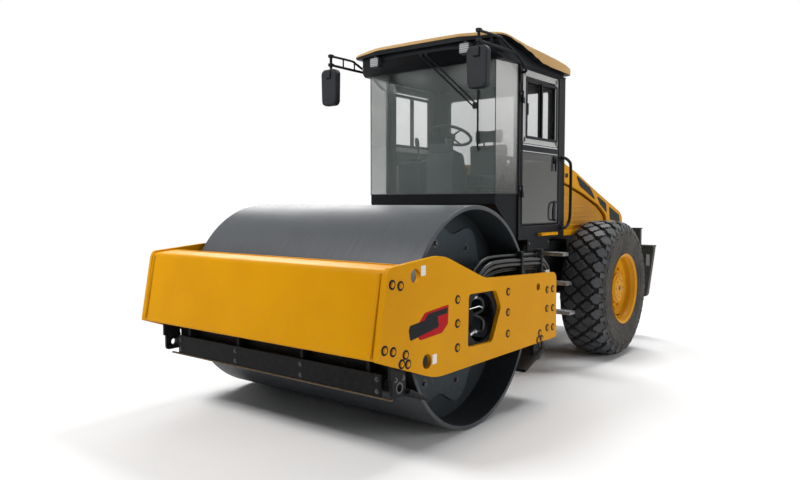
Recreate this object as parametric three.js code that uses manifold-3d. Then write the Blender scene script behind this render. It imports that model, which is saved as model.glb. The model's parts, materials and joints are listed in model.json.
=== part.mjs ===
import * as THREE from "three";
import { mergeVertices } from "three/addons/utils/BufferGeometryUtils.js";
import Module from "manifold-3d";

// Articulated single-drum road roller, in millimetres.
// +X is the machine's left side, +Y runs rearwards and +Z is up. Lengths are counted from the drum's
// axis, and the finished group is moved so that its origin is the middle of the footprint.

const wasm = await Module();
wasm.setup();

// ---- Driving dimensions ----

const seat = 0.3; // left between two pieces that touch
const running = 0.3; // radial play of a pin, shaft or rod in its bore

const drum = {
  radius: 750, // the drum rolls on its shell
  width: 2110,
  wall: 25,
  webX: 775, // inner face of each end web
  webThick: 25,
  bossRadius: 120,
  bossLength: 20,
  shaftRadius: 50,
};

const plate = {
  outerX: 1130, // half the machine's width
  thick: 30,
  toeY: -1123,
  toeZ: 654,
  browY: -1040,
  browZ: 1122,
  crestY: -550,
  crestZ: 1199,
  saddleY: 5,
  saddleZ: 1016,
  tailY: 1102,
  tailTopZ: 974,
  tailBottomZ: 455,
  bellyY: -581,
  bellyZ: 463,
};

const frontBeam = { backY: -845, topZ: 1160, frontTopZ: 1146, bottomZ: 652 };
const rearBeam = { frontY: 905, backY: 1075, bottomZ: 505, topZ: 925 };

const joint = {
  pivotY: 1420,
  trunnionZ: 700, // height of the swing axis
  trunnionRadius: 70,
  pinRadius: 42,
  blockHalf: 140,
  blockFrontY: 1200,
  blockBottomZ: 600,
  blockTopZ: 852,
  bossRadius: 130,
  bossLength: 55,
  armX: 240, // rod eye, across from the pivot
  armAhead: 120, // rod eye, ahead of the pivot
  armZ: 690,
  armThick: 20,
};

const cylinder = {
  anchorX: 310,
  anchorY: 1930,
  axisZ: 755,
  barrelRadius: 38,
  barrelLength: 420,
  boreStart: 55,
  rodRadius: 22,
  rodStart: 220,
  eyeRadius: 36,
  eyeHeight: 46,
  anchorPinRadius: 20,
};

const cab = {
  frontY: 946,
  postY: 1240, // front edge of the door posts
  sideX: 712,
  rearY: 2140,
  frameThick: 52,
  floorZ: 1265,
  sillZ: 1590, // top of the front lower panel
  noseZ: 1510,
  noseBackY: 1235,
  wallThick: 30,
  eaveZ: 2665,
  glass: 6,
};
cab.frontHalf = cab.sideX - 58;
cab.postHalf = cab.sideX - 15; // the door posts stand in a little from the sides

const tuck = 30; // how far the tyres reach forward under the cab
const tyre = { radius: 670, width: 445, centreX: 868, beadRadius: 318, flangeRadius: 347 };
const wheelbase = cab.rearY + tyre.radius - tuck;
const rim = {
  outerX: 1072,
  innerX: 664,
  wall: 18,
  discX: 945,
  discThick: 22,
  hubRadius: 150,
  hubOuterX: 1025,
  hubInnerX: 825,
};
const axle = { tubeRadius: 100, bulgeRadius: 190, endX: 640, flangeRadius: 135, flangeX: 815, shaftRadius: 50 };

const rail = {
  x: 395,
  thick: 30,
  frontY: 1620,
  rearY: wheelbase + 1100,
  topZ: 1200,
  bottomZ: 500,
  archZ: tyre.radius + 160,
  archHalf: 290,
};
const fork = { topZ: 865, bottomZ: 585, thick: 40, tipRadius: 95, rearY: 2060 };
const webThick = 30;

const engine = {
  halfWidth: 330,
  frontY: rail.rearY - 1130,
  rearY: rail.rearY - 430,
  topZ: 1460,
  mountZ: tyre.radius + axle.bulgeRadius + 40,
  mountThick: 40,
};
const tank = { width: 130, frontY: 1665, rearY: 2600, bottomZ: 620, topZ: 1150 };
const deck = { halfWidth: cab.sideX - 76, frontY: cab.rearY + 35, thick: 50 };
const hood = {
  halfWidth: deck.halfWidth + 14,
  frontY: deck.frontY,
  rearY: rail.rearY - 30,
  skirtZ: 1265,
  wall: 25,
  hingeY: rail.rearY - 12,
  hingeZ: 1262,
};
const weight = { topZ: 1020, bottomZ: 440, wingX: 970, footX: 900, wingThick: 70, coreX: 620, coreThick: 110 };

const doorway = { frontY: cab.postY + 44, rearY: cab.rearY - 134, bottomZ: 1320, topZ: cab.eaveZ - 15 };
const door = {
  gap: 7,
  thick: 44,
  windowEdge: 52,
  windowBottomZ: 1420,
  barZ: 1880,
  barHeight: 80,
  hingeX: cab.sideX + 10,
  hingeY: doorway.frontY - 3,
  knuckleRadius: 9,
  knuckleHeight: 50,
  knuckleZs: [1560, 2350],
};
const rearWindow = { halfWidth: cab.sideX - 152, bottomZ: 1700, topZ: cab.eaveZ - 105 };
const roof = { halfWidth: cab.sideX + 68, linerHalf: cab.sideX + 10, frontY: 720, rearY: cab.rearY + 10, crown: 35 };

const seatPlace = { y: 1420, depth: 480, halfWidth: 240, baseZ: 1655, cushionTopZ: 1780, backTopZ: 2240, backThick: 110 };
const wheelRing = { y: 1294, z: 2122, radius: 185, tube: 13, tilt: 0.42 };
const mirror = { x: cab.sideX + 40, y: 520, headTopZ: cab.eaveZ + 15, headHeight: 315, headWidth: 185, headThick: 70, tube: 12 };
const handrail = { x: cab.sideX + 36, tube: 14, topZ: 1930, bottomZ: 1285, y: cab.rearY - 80, bowY: cab.rearY + 60 };
const step = { count: 3, topZ: 1065, pitch: 265, y: wheelbase - tyre.radius - 240, depth: 120, thick: 32, reach: 290, spread: 36 };

// ---- Colours ----

const finish = (color, roughness, metalness = 0) => ({ color, roughness, metalness });
const paint = {
  yellow: finish(0xe0a01a, 0.4),
  black: finish(0x17181a, 0.5),
  slate: finish(0x59606a, 0.45, 0.6),
  steel: finish(0x9a9c9e, 0.4, 0.9),
  rubber: finish(0x2a2a29, 0.9),
  glass: finish(0x8d9aa0, 0.1),
  cream: finish(0xc9a468, 0.5),
  trim: finish(0x24262a, 0.8),
};

// ---- Shapes ----

// A closed geometry as a solid that can be joined and cut, its faces turned outwards.
function solid(geometry) {
  const bare = new THREE.BufferGeometry().setAttribute(
    "position",
    (geometry.index ? geometry.toNonIndexed() : geometry).getAttribute("position"),
  );
  const merged = mergeVertices(bare, 1e-3);
  const position = merged.getAttribute("position");
  const [a, b, c] = [new THREE.Vector3(), new THREE.Vector3(), new THREE.Vector3()];
  const corners = [];
  let volume = 0;
  for (let i = 0; i < merged.index.count; i += 3) {
    const [ia, ib, ic] = merged.index.array.slice(i, i + 3);
    if (ia === ib || ib === ic || ic === ia) continue;
    corners.push([ia, ib, ic]);
    a.fromBufferAttribute(position, ia);
    b.fromBufferAttribute(position, ib);
    c.fromBufferAttribute(position, ic);
    volume += a.dot(b.cross(c));
  }
  const triVerts = new Uint32Array((volume < 0 ? corners.map((t) => t.reverse()) : corners).flat());
  return new wasm.Manifold(new wasm.Mesh({ numProp: 3, vertProperties: position.array, triVerts }));
}

const join = (...solids) => solids.reduce((whole, piece) => whole.add(piece));
const cut = (whole, ...tools) => tools.reduce((rest, tool) => rest.subtract(tool), whole);
const overSides = (make) => [1, -1].map(make);

// A box between two opposite corners, given in any order.
function box(x0, x1, y0, y1, z0, z1) {
  const shape = new THREE.BoxGeometry(Math.abs(x1 - x0), Math.abs(y1 - y0), Math.abs(z1 - z0));
  return solid(shape.translate((x0 + x1) / 2, (y0 + y1) / 2, (z0 + z1) / 2));
}

// A closed outline through corners [u, v, radius]; a corner with a radius is rounded.
function outline(points) {
  const shape = new THREE.Shape();
  points.forEach(([u, v, radius = 0], i) => {
    const corner = new THREE.Vector2(u, v);
    const towards = ([pu, pv]) => new THREE.Vector2(pu - u, pv - v).setLength(radius).add(corner);
    const start = towards(points.at(i - 1));
    const end = towards(points[(i + 1) % points.length]);
    if (i) shape.lineTo(start.x, start.y);
    else shape.moveTo(start.x, start.y);
    if (radius) shape.quadraticCurveTo(u, v, end.x, end.y);
  });
  return shape;
}

// An outline drawn in the two other axes, in the order X, Y, Z, and extruded along one axis.
function prism(axis, points, from, to, curveSegments = 3) {
  const depth = Math.abs(to - from);
  const shape = new THREE.ExtrudeGeometry(outline(points), { depth, bevelEnabled: false, curveSegments });
  shape.translate(0, 0, Math.min(from, to));
  const [u, v, w] = [new THREE.Vector3(1, 0, 0), new THREE.Vector3(0, 1, 0), new THREE.Vector3(0, 0, 1)];
  const basis = { x: [v, w, u], y: [u, w, v], z: [u, v, w] }[axis];
  return solid(shape.applyMatrix4(new THREE.Matrix4().makeBasis(...basis)));
}

const axes = {
  x: new THREE.Matrix4().makeRotationZ(-Math.PI / 2),
  y: new THREE.Matrix4(),
  z: new THREE.Matrix4().makeRotationX(Math.PI / 2),
};

// A profile [along, radius] turned about an axis; a flat lies at its lowest side.
function turned(axis, profile, sides, at = [0, 0, 0]) {
  const points = profile.map(([along, radius]) => new THREE.Vector2(radius, along));
  const shape = new THREE.LatheGeometry(points, sides, Math.PI / sides);
  return solid(shape.applyMatrix4(axes[axis]).translate(...at));
}

// The corner radius of a polygon whose flats lie at the given radius.
const aroundFlats = (radius, sides) => radius / Math.cos(Math.PI / sides);

// A bar of round section along an axis.
function bar(axis, radius, from, to, at = [0, 0, 0], sides = 18) {
  return turned(axis, [[from, 0], [from, radius], [to, radius], [to, 0]], sides, at);
}

// A hole for a bar: its flats clear the bar's corners by the running play.
const bore = (axis, radius, from, to, at, sides = 18) =>
  bar(axis, aroundFlats(radius + running, sides), from, to, at, sides);

// A bar of round section between two points.
function rod(from, to, radius, sides = 12) {
  const [start, end] = [new THREE.Vector3(...from), new THREE.Vector3(...to)];
  const along = end.clone().sub(start);
  const shape = new THREE.CylinderGeometry(radius, radius, along.length(), sides);
  shape.applyQuaternion(new THREE.Quaternion().setFromUnitVectors(THREE.Object3D.DEFAULT_UP, along.normalize()));
  return solid(shape.translate(...start.add(end).multiplyScalar(0.5)));
}

// A round tube along a smooth path.
function tube(points, radius, steps = 16, sides = 8, tension = 0.3) {
  const path = new THREE.CatmullRomCurve3(points.map((p) => new THREE.Vector3(...p)), false, "catmullrom", tension);
  const section = new THREE.Shape().absarc(0, 0, radius, 0, 2 * Math.PI);
  return solid(
    new THREE.ExtrudeGeometry(section, { extrudePath: path, steps, curveSegments: sides / 2, bevelEnabled: false }),
  );
}

function piece(group, name, whole, look) {
  const { vertProperties, triVerts } = whole.getMesh();
  const shape = new THREE.BufferGeometry();
  shape.setAttribute("position", new THREE.BufferAttribute(vertProperties, 3));
  shape.setIndex(new THREE.BufferAttribute(triVerts, 1));
  shape.computeVertexNormals();
  const mesh = new THREE.Mesh(shape, new THREE.MeshStandardMaterial(look));
  mesh.name = name;
  group.add(mesh);
}

const sideName = (side) => (side > 0 ? "left" : "right");

// ---- Drum and the frame around it ----

function makeDrum(group) {
  const { radius, width, wall, webX, webThick, bossRadius, bossLength, shaftRadius } = drum;
  const sides = 40;
  const outer = aroundFlats(radius, sides);
  const inner = aroundFlats(radius - wall, sides);
  const hole = aroundFlats(shaftRadius + running, sides);
  const half = [
    [width / 2, outer],
    [width / 2, inner],
    [webX + webThick, inner],
    [webX + webThick, bossRadius],
    [webX + webThick + bossLength, bossRadius],
    [webX + webThick + bossLength, hole],
    [webX, hole],
    [webX, inner],
  ];
  const mirrored = half.map(([x, r]) => [-x, r]).reverse();
  piece(group, "drum", turned("x", [...half, ...mirrored, half[0]], sides), paint.slate);
}

function makeSidePlate(group, side) {
  const p = plate;
  const inner = side * (p.outerX - p.thick);
  const outer = side * p.outerX;
  const edge = [
    [p.toeY, p.toeZ, 12],
    [p.browY, p.browZ, 20],
    [p.browY + 21, p.browZ + 38, 20],
    [p.crestY, p.crestZ, 40],
    [p.crestY + 90, p.crestZ - 14, 40],
    [p.saddleY, p.saddleZ, 60],
    [p.tailY - 49, p.tailTopZ, 20],
    [p.tailY - 12, p.tailTopZ - 30, 20],
    [p.tailY, p.tailBottomZ, 20],
    [p.bellyY, p.bellyZ, 90],
  ];
  const windowEdge = [
    [-205, 180, 30],
    [143, 173, 30],
    [214, 49, 30],
    [94, -175, 30],
    [-214, -163, 30],
  ].map(([y, z, r]) => [y, z + drum.radius, r]);
  const liftingHoles = [
    [p.browY + 259, p.browZ - 27, 45],
    [-665, 580, 45],
    [778, 884, 28],
  ];
  const holes = liftingHoles.map(([y, z, r]) => bar("x", r, inner - side * 5, outer + side * 5, [0, y, z], 20));
  const window = prism("x", windowEdge, inner - side * 5, outer + side * 5);
  piece(group, `side_plate_${sideName(side)}`, cut(prism("x", edge, inner, outer), window, ...holes), paint.yellow);
}

const betweenPlates = plate.outerX - plate.thick - seat;

function makeFrontBeam(group) {
  const section = [
    [plate.toeY, frontBeam.bottomZ, 18],
    [plate.browY + 8, frontBeam.frontTopZ, 30],
    [frontBeam.backY, frontBeam.topZ, 12],
    [frontBeam.backY, frontBeam.bottomZ, 12],
  ];
  piece(group, "front_beam", prism("x", section, -betweenPlates, betweenPlates), paint.yellow);
}

function makeRearBeam(group) {
  const b = rearBeam;
  const at = [0, 0, joint.trunnionZ];
  const beam = box(-betweenPlates, betweenPlates, b.frontY, b.backY, b.bottomZ, b.topZ);
  const boss = bar("y", joint.bossRadius, b.backY - 5, b.backY + joint.bossLength, at, 32);
  const hole = bore("y", joint.trunnionRadius, b.frontY - 5, b.backY + joint.bossLength + 5, at, 32);
  piece(group, "rear_beam", cut(join(beam, boss), hole), paint.yellow);
}

// Carrier between a side plate and the drum: bracket, rubber buffers, hub flange, motor and shaft.
function makeDrumCarrier(group, side) {
  const at = [0, 0, drum.radius];
  const plateFace = side * betweenPlates;
  const bracketX = side * (betweenPlates - 25);
  const bracket = cut(
    prism("x", [[-385, 505, 40], [-385, 965, 40], [365, 950, 40], [365, 545, 40]], bracketX, plateFace),
    bar("x", 165, bracketX - side * 5, plateFace + side * 5, at, 20),
  );
  const flangeX = side * (drum.webX + drum.webThick + drum.bossLength + 15);
  const flange = bar("x", 290, flangeX, flangeX + side * 25, at, 28);
  const buffers = [0, 1, 2, 3, 4, 5].map((i) => {
    const angle = i * (Math.PI / 3);
    const place = [0, 230 * Math.cos(angle), drum.radius + 230 * Math.sin(angle)];
    return bar("x", 42, flangeX + side * 20, bracketX + side * 5, place, 10);
  });
  const motor = bar("x", 95, flangeX, flangeX + side * 150, at);
  const shaft = bar("x", drum.shaftRadius, side * (drum.webX + 5), flangeX + side * 5, at, 40);
  piece(group, `drum_carrier_${sideName(side)}`, join(bracket, flange, ...buffers, motor, shaft), paint.black);
}

// A scraper bar under one end of the frame, its blade close to the drum's shell.
function makeScraper(group, name, barY, barZ, tipZ, lugY, lugZ, hangerTopZ) {
  const away = Math.sign(barY); // -1 ahead of the drum, +1 behind it
  const tipReach = drum.radius + 8;
  const tipY = away * Math.sqrt(tipReach ** 2 - (drum.radius - tipZ) ** 2);
  const bladeHalf = plate.outerX - 5;
  const lugX = plate.outerX - plate.thick - 5;
  const lugHole = (s) => bar("x", 22, s * (lugX - 40), s * (lugX + 20), [0, lugY, lugZ], 16);
  const main = prism(
    "x",
    [[barY - 45, barZ - 45, 8], [barY - 45, barZ + 45, 8], [barY + 45, barZ + 45, 8], [barY + 45, barZ - 45, 8]],
    -927,
    927,
  );
  const blade = prism(
    "x",
    [[barY - away * 20, barZ - 40], [barY - away * 30, barZ - 18], [tipY, tipZ + 6], [tipY, tipZ - 10]],
    -bladeHalf,
    bladeHalf,
  );
  const ends = overSides((s) =>
    cut(
      join(
        prism(
          "x",
          [[lugY - 62, lugZ - 55, 25], [lugY - 62, lugZ + 75, 25], [lugY + 62, lugZ + 75, 25], [lugY + 62, lugZ - 55, 25]],
          s * (lugX - 22),
          s * lugX,
        ),
        box(s * 900, s * (lugX - 2), barY - 18, barY + 18, barZ - 35, barZ + 35),
        box(s * 855, s * 880, barY - 40, barY + 40, barZ, hangerTopZ - seat),
        box(s * 300, s * 325, barY - 40, barY + 40, barZ, hangerTopZ - seat),
      ),
      lugHole(s),
    ),
  );
  piece(group, name, join(main, blade, ...ends), paint.black);
}

// Two pressure hoses from the drum carrier over the plate's edge to the rear beam, held by clamps.
function makeHoses(group) {
  const clampOuter = plate.outerX - plate.thick - seat;
  const x = clampOuter - 20;
  const startY = (i) => 20 - 36 * i;
  const endY = (i) => 1000 + 36 * i;
  const lines = [0, 1].map((i) => {
    const rise = 32 * i;
    return tube(
      [
        [x, startY(i), 962],
        [x, startY(i) + 4, 1020 + rise / 2],
        [x, 130 - 20 * i, 1068 + rise],
        [x, 300, 1075 + rise],
        [x, 600, 1066 + rise],
        [x, 905, 1052 + rise],
        [x, endY(i) - 4, 1005 + rise / 2],
        [x, endY(i), rearBeam.topZ + 12],
      ],
      14,
      16,
    );
  });
  const ferrules = [0, 1].flatMap((i) => [
    bar("z", 16, -975, -958, [x, startY(i), 0], 8).mirror([0, 0, 1]),
    bar("z", 16, -950, -rearBeam.topZ - seat, [x, endY(i), 0], 8).mirror([0, 0, 1]),
  ]);
  const clamps = [585, 905].map((y) => box(clampOuter, clampOuter - 37, y - 14, y + 14, 955, 1112));
  piece(group, "drum_hoses", join(...lines, ...ferrules, ...clamps), paint.rubber);
}

// ---- Centre joint and steering ----

const pin = [0, joint.pivotY, 0];

function makeCentreBlock(group) {
  const j = joint;
  const body = join(
    box(-j.blockHalf, j.blockHalf, j.blockFrontY, j.pivotY, j.blockBottomZ, j.blockTopZ),
    bar("z", j.blockHalf, -j.blockTopZ, -j.blockBottomZ, [0, j.pivotY, 0], 32).mirror([0, 0, 1]),
  );
  const trunnion = bar("y", j.trunnionRadius, rearBeam.frontY + 10, j.blockFrontY + 10, [0, 0, j.trunnionZ], 32);
  const eyeY = j.pivotY - j.armAhead;
  const arm = prism(
    "z",
    [
      [-j.armX - 42, eyeY + 42, 30],
      [-j.armX - 42, eyeY - 42, 30],
      [j.armX + 42, eyeY - 42, 30],
      [j.armX + 42, eyeY + 42, 30],
    ],
    j.armZ,
    j.armZ + j.armThick,
  );
  const hole = bore("z", j.pinRadius, -j.blockTopZ - 5, -j.blockBottomZ + 5, pin).mirror([0, 0, 1]);
  piece(group, "centre_joint", cut(join(body, trunnion, arm), hole), paint.black);
}

// One steering cylinder, drawn from its anchor towards its rod eye at rest.
function makeSteeringCylinder(group, side) {
  const c = cylinder;
  const anchor = new THREE.Vector3(side * c.anchorX, c.anchorY, c.axisZ);
  const eye = new THREE.Vector3(side * joint.armX, joint.pivotY - joint.armAhead, c.axisZ);
  const reach = eye.clone().sub(anchor);
  const along = (distance) => anchor.clone().addScaledVector(reach, distance / reach.length()).toArray();
  const eyeAt = (place) => [place.x, place.y, 0];
  const upright = (radius, place, half = c.eyeHeight / 2, sides = 18) =>
    bar("z", radius, -c.axisZ - half, -c.axisZ + half, eyeAt(place), sides).mirror([0, 0, 1]);
  const sides = 16;
  const hollow = aroundFlats(c.rodRadius + running, sides);
  const barrel = cut(
    join(rod(along(0), along(c.barrelLength), c.barrelRadius, sides), upright(c.eyeRadius, anchor)),
    rod(along(c.boreStart), along(c.barrelLength + 5), hollow, sides),
    upright(aroundFlats(c.anchorPinRadius + running, 18), anchor, c.eyeHeight),
  );
  const pushrod = join(
    rod(along(c.rodStart), eye.toArray(), c.rodRadius, sides),
    upright(c.eyeRadius, eye),
    upright(c.rodRadius - 6, eye, c.eyeHeight / 2 + 8),
  );
  piece(group, `steering_cylinder_${sideName(side)}`, barrel, paint.black);
  piece(group, `steering_rod_${sideName(side)}`, pushrod, paint.steel);
}

// ---- Rear frame and drive ----

function makeRearFrame(group) {
  const r = rail;
  const axleZ = tyre.radius;
  const railEdge = [
    [r.frontY, r.bottomZ + 60, 30],
    [r.frontY, r.topZ],
    [r.rearY, r.topZ],
    [r.rearY, r.bottomZ + 60, 30],
    [wheelbase + r.archHalf + 100, r.bottomZ + 60],
    [wheelbase + r.archHalf, r.archZ, 60],
    [wheelbase - r.archHalf, r.archZ, 60],
    [wheelbase - r.archHalf - 100, r.bottomZ],
    [r.frontY + 60, r.bottomZ, 30],
  ];
  const rails = overSides((s) => prism("x", railEdge, s * (r.x - r.thick / 2), s * (r.x + r.thick / 2)));
  const reach = r.x;
  const forkEdge = [
    [-reach, fork.rearY],
    [-reach, r.frontY + 20],
    [-fork.tipRadius, joint.pivotY - fork.tipRadius, fork.tipRadius * 0.9],
    [fork.tipRadius, joint.pivotY - fork.tipRadius, fork.tipRadius * 0.9],
    [reach, r.frontY + 20],
    [reach, fork.rearY],
  ];
  const forks = [
    prism("z", forkEdge, fork.topZ, fork.topZ + fork.thick),
    prism("z", forkEdge, fork.bottomZ, fork.bottomZ - fork.thick),
  ];
  const kingpin = bar("z", joint.pinRadius, -fork.topZ - 60, -fork.bottomZ + 60, pin).mirror([0, 0, 1]);
  const anchors = overSides((s) =>
    bar("z", cylinder.anchorPinRadius, -fork.topZ - 5, -fork.bottomZ + 5, [s * cylinder.anchorX, cylinder.anchorY, 0])
      .mirror([0, 0, 1]),
  );
  const web = box(-reach, reach, fork.rearY - webThick, fork.rearY, r.bottomZ + 30, r.topZ - 60);
  const mounts = [engine.frontY + 90, engine.rearY - 150].map((y) =>
    box(-reach, reach, y, y + 80, engine.mountZ - engine.mountThick, engine.mountZ),
  );
  const rearWeb = box(-reach, reach, r.rearY - webThick, r.rearY, r.bottomZ + 90, r.topZ - 40);
  const whole = join(...rails, ...forks, kingpin, ...anchors, web, ...mounts, rearWeb);
  piece(group, "rear_frame", whole, paint.black);
}

function makeRearAxle(group) {
  const a = axle;
  const at = [0, wheelbase, tyre.radius];
  const half = [
    [a.flangeX, 0],
    [a.flangeX, a.shaftRadius + 62],
    [a.endX, a.flangeRadius],
    [a.endX - 50, a.tubeRadius],
    [a.bulgeRadius + 40, a.tubeRadius],
    [a.bulgeRadius - 60, a.bulgeRadius],
  ];
  const profile = [...half, ...half.map(([x, r]) => [-x, r]).reverse()];
  const shafts = bar("x", a.shaftRadius, -rim.discX, rim.discX, at, 32);
  const pads = overSides((s) =>
    box(s * (rail.x - 45), s * (rail.x + 45), wheelbase - 80, wheelbase + 80, tyre.radius, rail.archZ - seat),
  );
  piece(group, "rear_axle", join(turned("x", profile, 20, at), shafts, ...pads), paint.black);
}

function makeTyre(group, side) {
  const t = tyre;
  const sides = 32;
  const [inner, outer] = [t.centreX - t.width / 2, t.centreX + t.width / 2];
  const bead = t.beadRadius + seat;
  const section = [
    [inner + 28, bead],
    [inner + 8, bead + 45],
    [inner, t.radius - 170],
    [inner + 8, t.radius - 60],
    [inner + 38, t.radius - 14],
    [inner + 80, t.radius],
  ];
  const mirrored = section.map(([x, r]) => [inner + outer - x, r]).reverse();
  const ring = [...section, ...mirrored, section[0]].map(([x, r]) => [side * x, aroundFlats(r, sides)]);
  piece(group, `tyre_${sideName(side)}`, turned("x", ring, sides, [0, wheelbase, t.radius]), paint.rubber);
}

function makeRim(group, side) {
  const t = tyre;
  const r = rim;
  const sides = 32;
  const [inner, outer] = [t.centreX - t.width / 2, t.centreX + t.width / 2];
  const seatRadius = t.beadRadius;
  const barrelRadius = seatRadius - r.wall;
  const hole = aroundFlats(axle.shaftRadius + running, sides);
  const section = [
    [r.outerX, t.flangeRadius],
    [outer - 27 + 15, t.flangeRadius],
    [outer - 27, seatRadius],
    [inner + 27, seatRadius],
    [inner + 27 - 15, t.flangeRadius],
    [r.innerX, t.flangeRadius],
    [r.innerX, barrelRadius],
    [r.discX, barrelRadius],
    [r.discX, r.hubRadius],
    [r.hubInnerX, r.hubRadius - 25],
    [r.hubInnerX, hole],
    [r.discX + 5, hole],
    [r.discX + 5, 0],
    [r.hubOuterX, 0],
    [r.hubOuterX, r.hubRadius - 30],
    [r.hubOuterX - 25, r.hubRadius],
    [r.discX + r.discThick, r.hubRadius],
    [r.discX + r.discThick, barrelRadius - 30],
    [r.outerX - 40, barrelRadius],
    [r.outerX, barrelRadius + 12],
  ];
  const left = turned("x", [...section, section[0]], sides, [0, wheelbase, t.radius]);
  piece(group, `rim_${sideName(side)}`, side > 0 ? left : left.mirror([1, 0, 0]), paint.yellow);
}

function makeTank(group, side, name) {
  const inner = rail.x + rail.thick / 2 + seat;
  const edge = [
    [side * inner, tank.bottomZ, 12],
    [side * inner, tank.topZ, 12],
    [side * (inner + tank.width), tank.topZ, 25],
    [side * (inner + tank.width), tank.bottomZ, 25],
  ];
  piece(group, name, prism("y", edge, tank.frontY, tank.rearY), paint.black);
}

// Three treads on a backing plate that is bolted to the tank.
function makeSteps(group, side) {
  const back = rail.x + rail.thick / 2 + seat + tank.width + seat;
  const treads = Array.from({ length: step.count }, (_, i) => {
    const top = step.topZ - i * step.pitch;
    const reach = step.reach + i * step.spread;
    return box(side * (back + 5), side * (back + reach), step.y, step.y + step.depth, top - step.thick, top);
  });
  const backing = box(side * back, side * (back + 15), step.y, step.y + step.depth, 490, 1130);
  piece(group, `steps_${sideName(side)}`, join(backing, ...treads), paint.steel);
}

function makeEngine(group) {
  const e = engine;
  const bottom = e.mountZ + seat;
  piece(group, "engine", box(-e.halfWidth, e.halfWidth, e.frontY, e.rearY, bottom, e.topZ), paint.black);
}

// ---- Hood ----

const ridge = [
  [hood.rearY - 450, hood.skirtZ],
  [hood.rearY - 500, 1390, 40],
  [hood.rearY - 700, 1490],
  [hood.rearY - 1090, 1605],
  [hood.frontY + 225, 1690],
  [hood.frontY, 1735],
];

function makeHood(group) {
  const h = hood;
  const crest = [
    [h.frontY, 1915, 20],
    [h.frontY + 75, 1900],
    [h.frontY + 395, 1812],
    [h.rearY - 755, 1630],
    [h.rearY - 70, 1412, 40],
    [h.rearY, 1350, 30],
  ];
  const outer = prism("x", [...crest, [h.rearY, h.skirtZ], ...ridge], -h.halfWidth, h.halfWidth);
  const inside = [
    [h.frontY + h.wall, 1886],
    [h.frontY + 75, 1870],
    [h.frontY + 385, 1785],
    [h.rearY - 765, 1602],
    [h.rearY - 82, 1388],
    [h.rearY - h.wall, 1335],
    [h.rearY - h.wall, h.skirtZ - 50],
    [h.frontY + h.wall, h.skirtZ - 50],
  ];
  const hollow = prism("x", inside, -(h.halfWidth - h.wall), h.halfWidth - h.wall);
  const at = [0, h.hingeY, h.hingeZ];
  const lugs = overSides((s) =>
    join(
      bar("x", 20, s * 480, s * 540, at),
      box(s * 480, s * 540, h.rearY - 12, h.hingeY, h.hingeZ + 4, h.hingeZ + 20),
    ),
  );
  const holes = overSides((s) => bore("x", 10, s * 470, s * 550, at));
  piece(group, "hood", cut(join(cut(outer, hollow), ...lugs), ...holes), paint.yellow);
}

function makeEngineDeck(group) {
  const d = deck;
  const bottom = rail.topZ + seat;
  const rearY = rail.rearY - 2;
  const frame = cut(
    box(-d.halfWidth, d.halfWidth, d.frontY, rearY, bottom, bottom + d.thick),
    box(-450, 450, d.frontY + 125, rearY - 180, bottom - 5, bottom + d.thick + 5),
  );
  const notches = overSides((s) => box(s * 470, s * 550, rearY - 45, rearY + 5, bottom + 22, bottom + d.thick + 5));
  const ears = overSides((s) =>
    join(
      bar("x", 10, s * 450, s * 570, [0, hood.hingeY, hood.hingeZ]),
      box(s * 450, s * 466, hood.hingeY - 12, rearY, bottom + 5, hood.hingeZ + 12),
      box(s * 554, s * 570, hood.hingeY - 12, rearY, bottom + 5, hood.hingeZ + 12),
    ),
  );
  piece(group, "engine_deck", join(cut(frame, ...notches), ...ears), paint.yellow);
}

// The fixed louvred panel under the hood's lower edge.
function makeSidePanel(group, side) {
  const under = 12;
  const edge = ridge.slice(1).map(([y, z, r]) => [y - 8, z - under, r]);
  const bottom = rail.topZ + seat + deck.thick + seat;
  const outer = hood.halfWidth - hood.wall - 5;
  const points = [[hood.rearY - 462, bottom], ...edge, [hood.frontY - 8, bottom]];
  piece(group, `side_panel_${sideName(side)}`, prism("x", points, side * (outer - 20), side * outer), paint.yellow);
}

function makeCounterweight(group) {
  const w = weight;
  const front = rail.rearY + seat;
  const wingFront = front + w.coreThick;
  const wingRear = wingFront + w.wingThick;
  const wings = prism(
    "y",
    [
      [-w.wingX, w.topZ, 12],
      [w.wingX, w.topZ, 12],
      [w.wingX - 8, w.topZ - 75],
      [w.footX, w.bottomZ, 40],
      [-w.footX, w.bottomZ, 40],
      [-w.wingX + 8, w.topZ - 75],
    ],
    wingFront,
    wingRear,
  );
  const core = box(-w.coreX, w.coreX, front, wingFront + 5, w.bottomZ + 60, w.topZ);
  const flange = box(-w.wingX, w.wingX, wingFront - 40, wingRear + 14, w.topZ - 5, w.topZ + 14);
  const lamps = overSides((s) => box(s * 710, s * 810, wingFront + 5, wingFront + 60, w.topZ + 8, w.topZ + 200));
  piece(group, "counterweight", join(wings, core, flange, ...lamps), paint.black);
}

// ---- Cab ----

const cabPlan = (inset, rearInset = inset) => {
  const front = cab.frontY + inset;
  const corner = [cab.frontHalf - inset, front];
  const post = [cab.postHalf - inset, cab.postY];
  const rear = [cab.sideX - inset, cab.rearY - rearInset];
  const right = [corner, post, [rear[0], cab.postY], rear];
  return [...right, ...right.map(([x, y]) => [-x, y]).reverse()];
};

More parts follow.
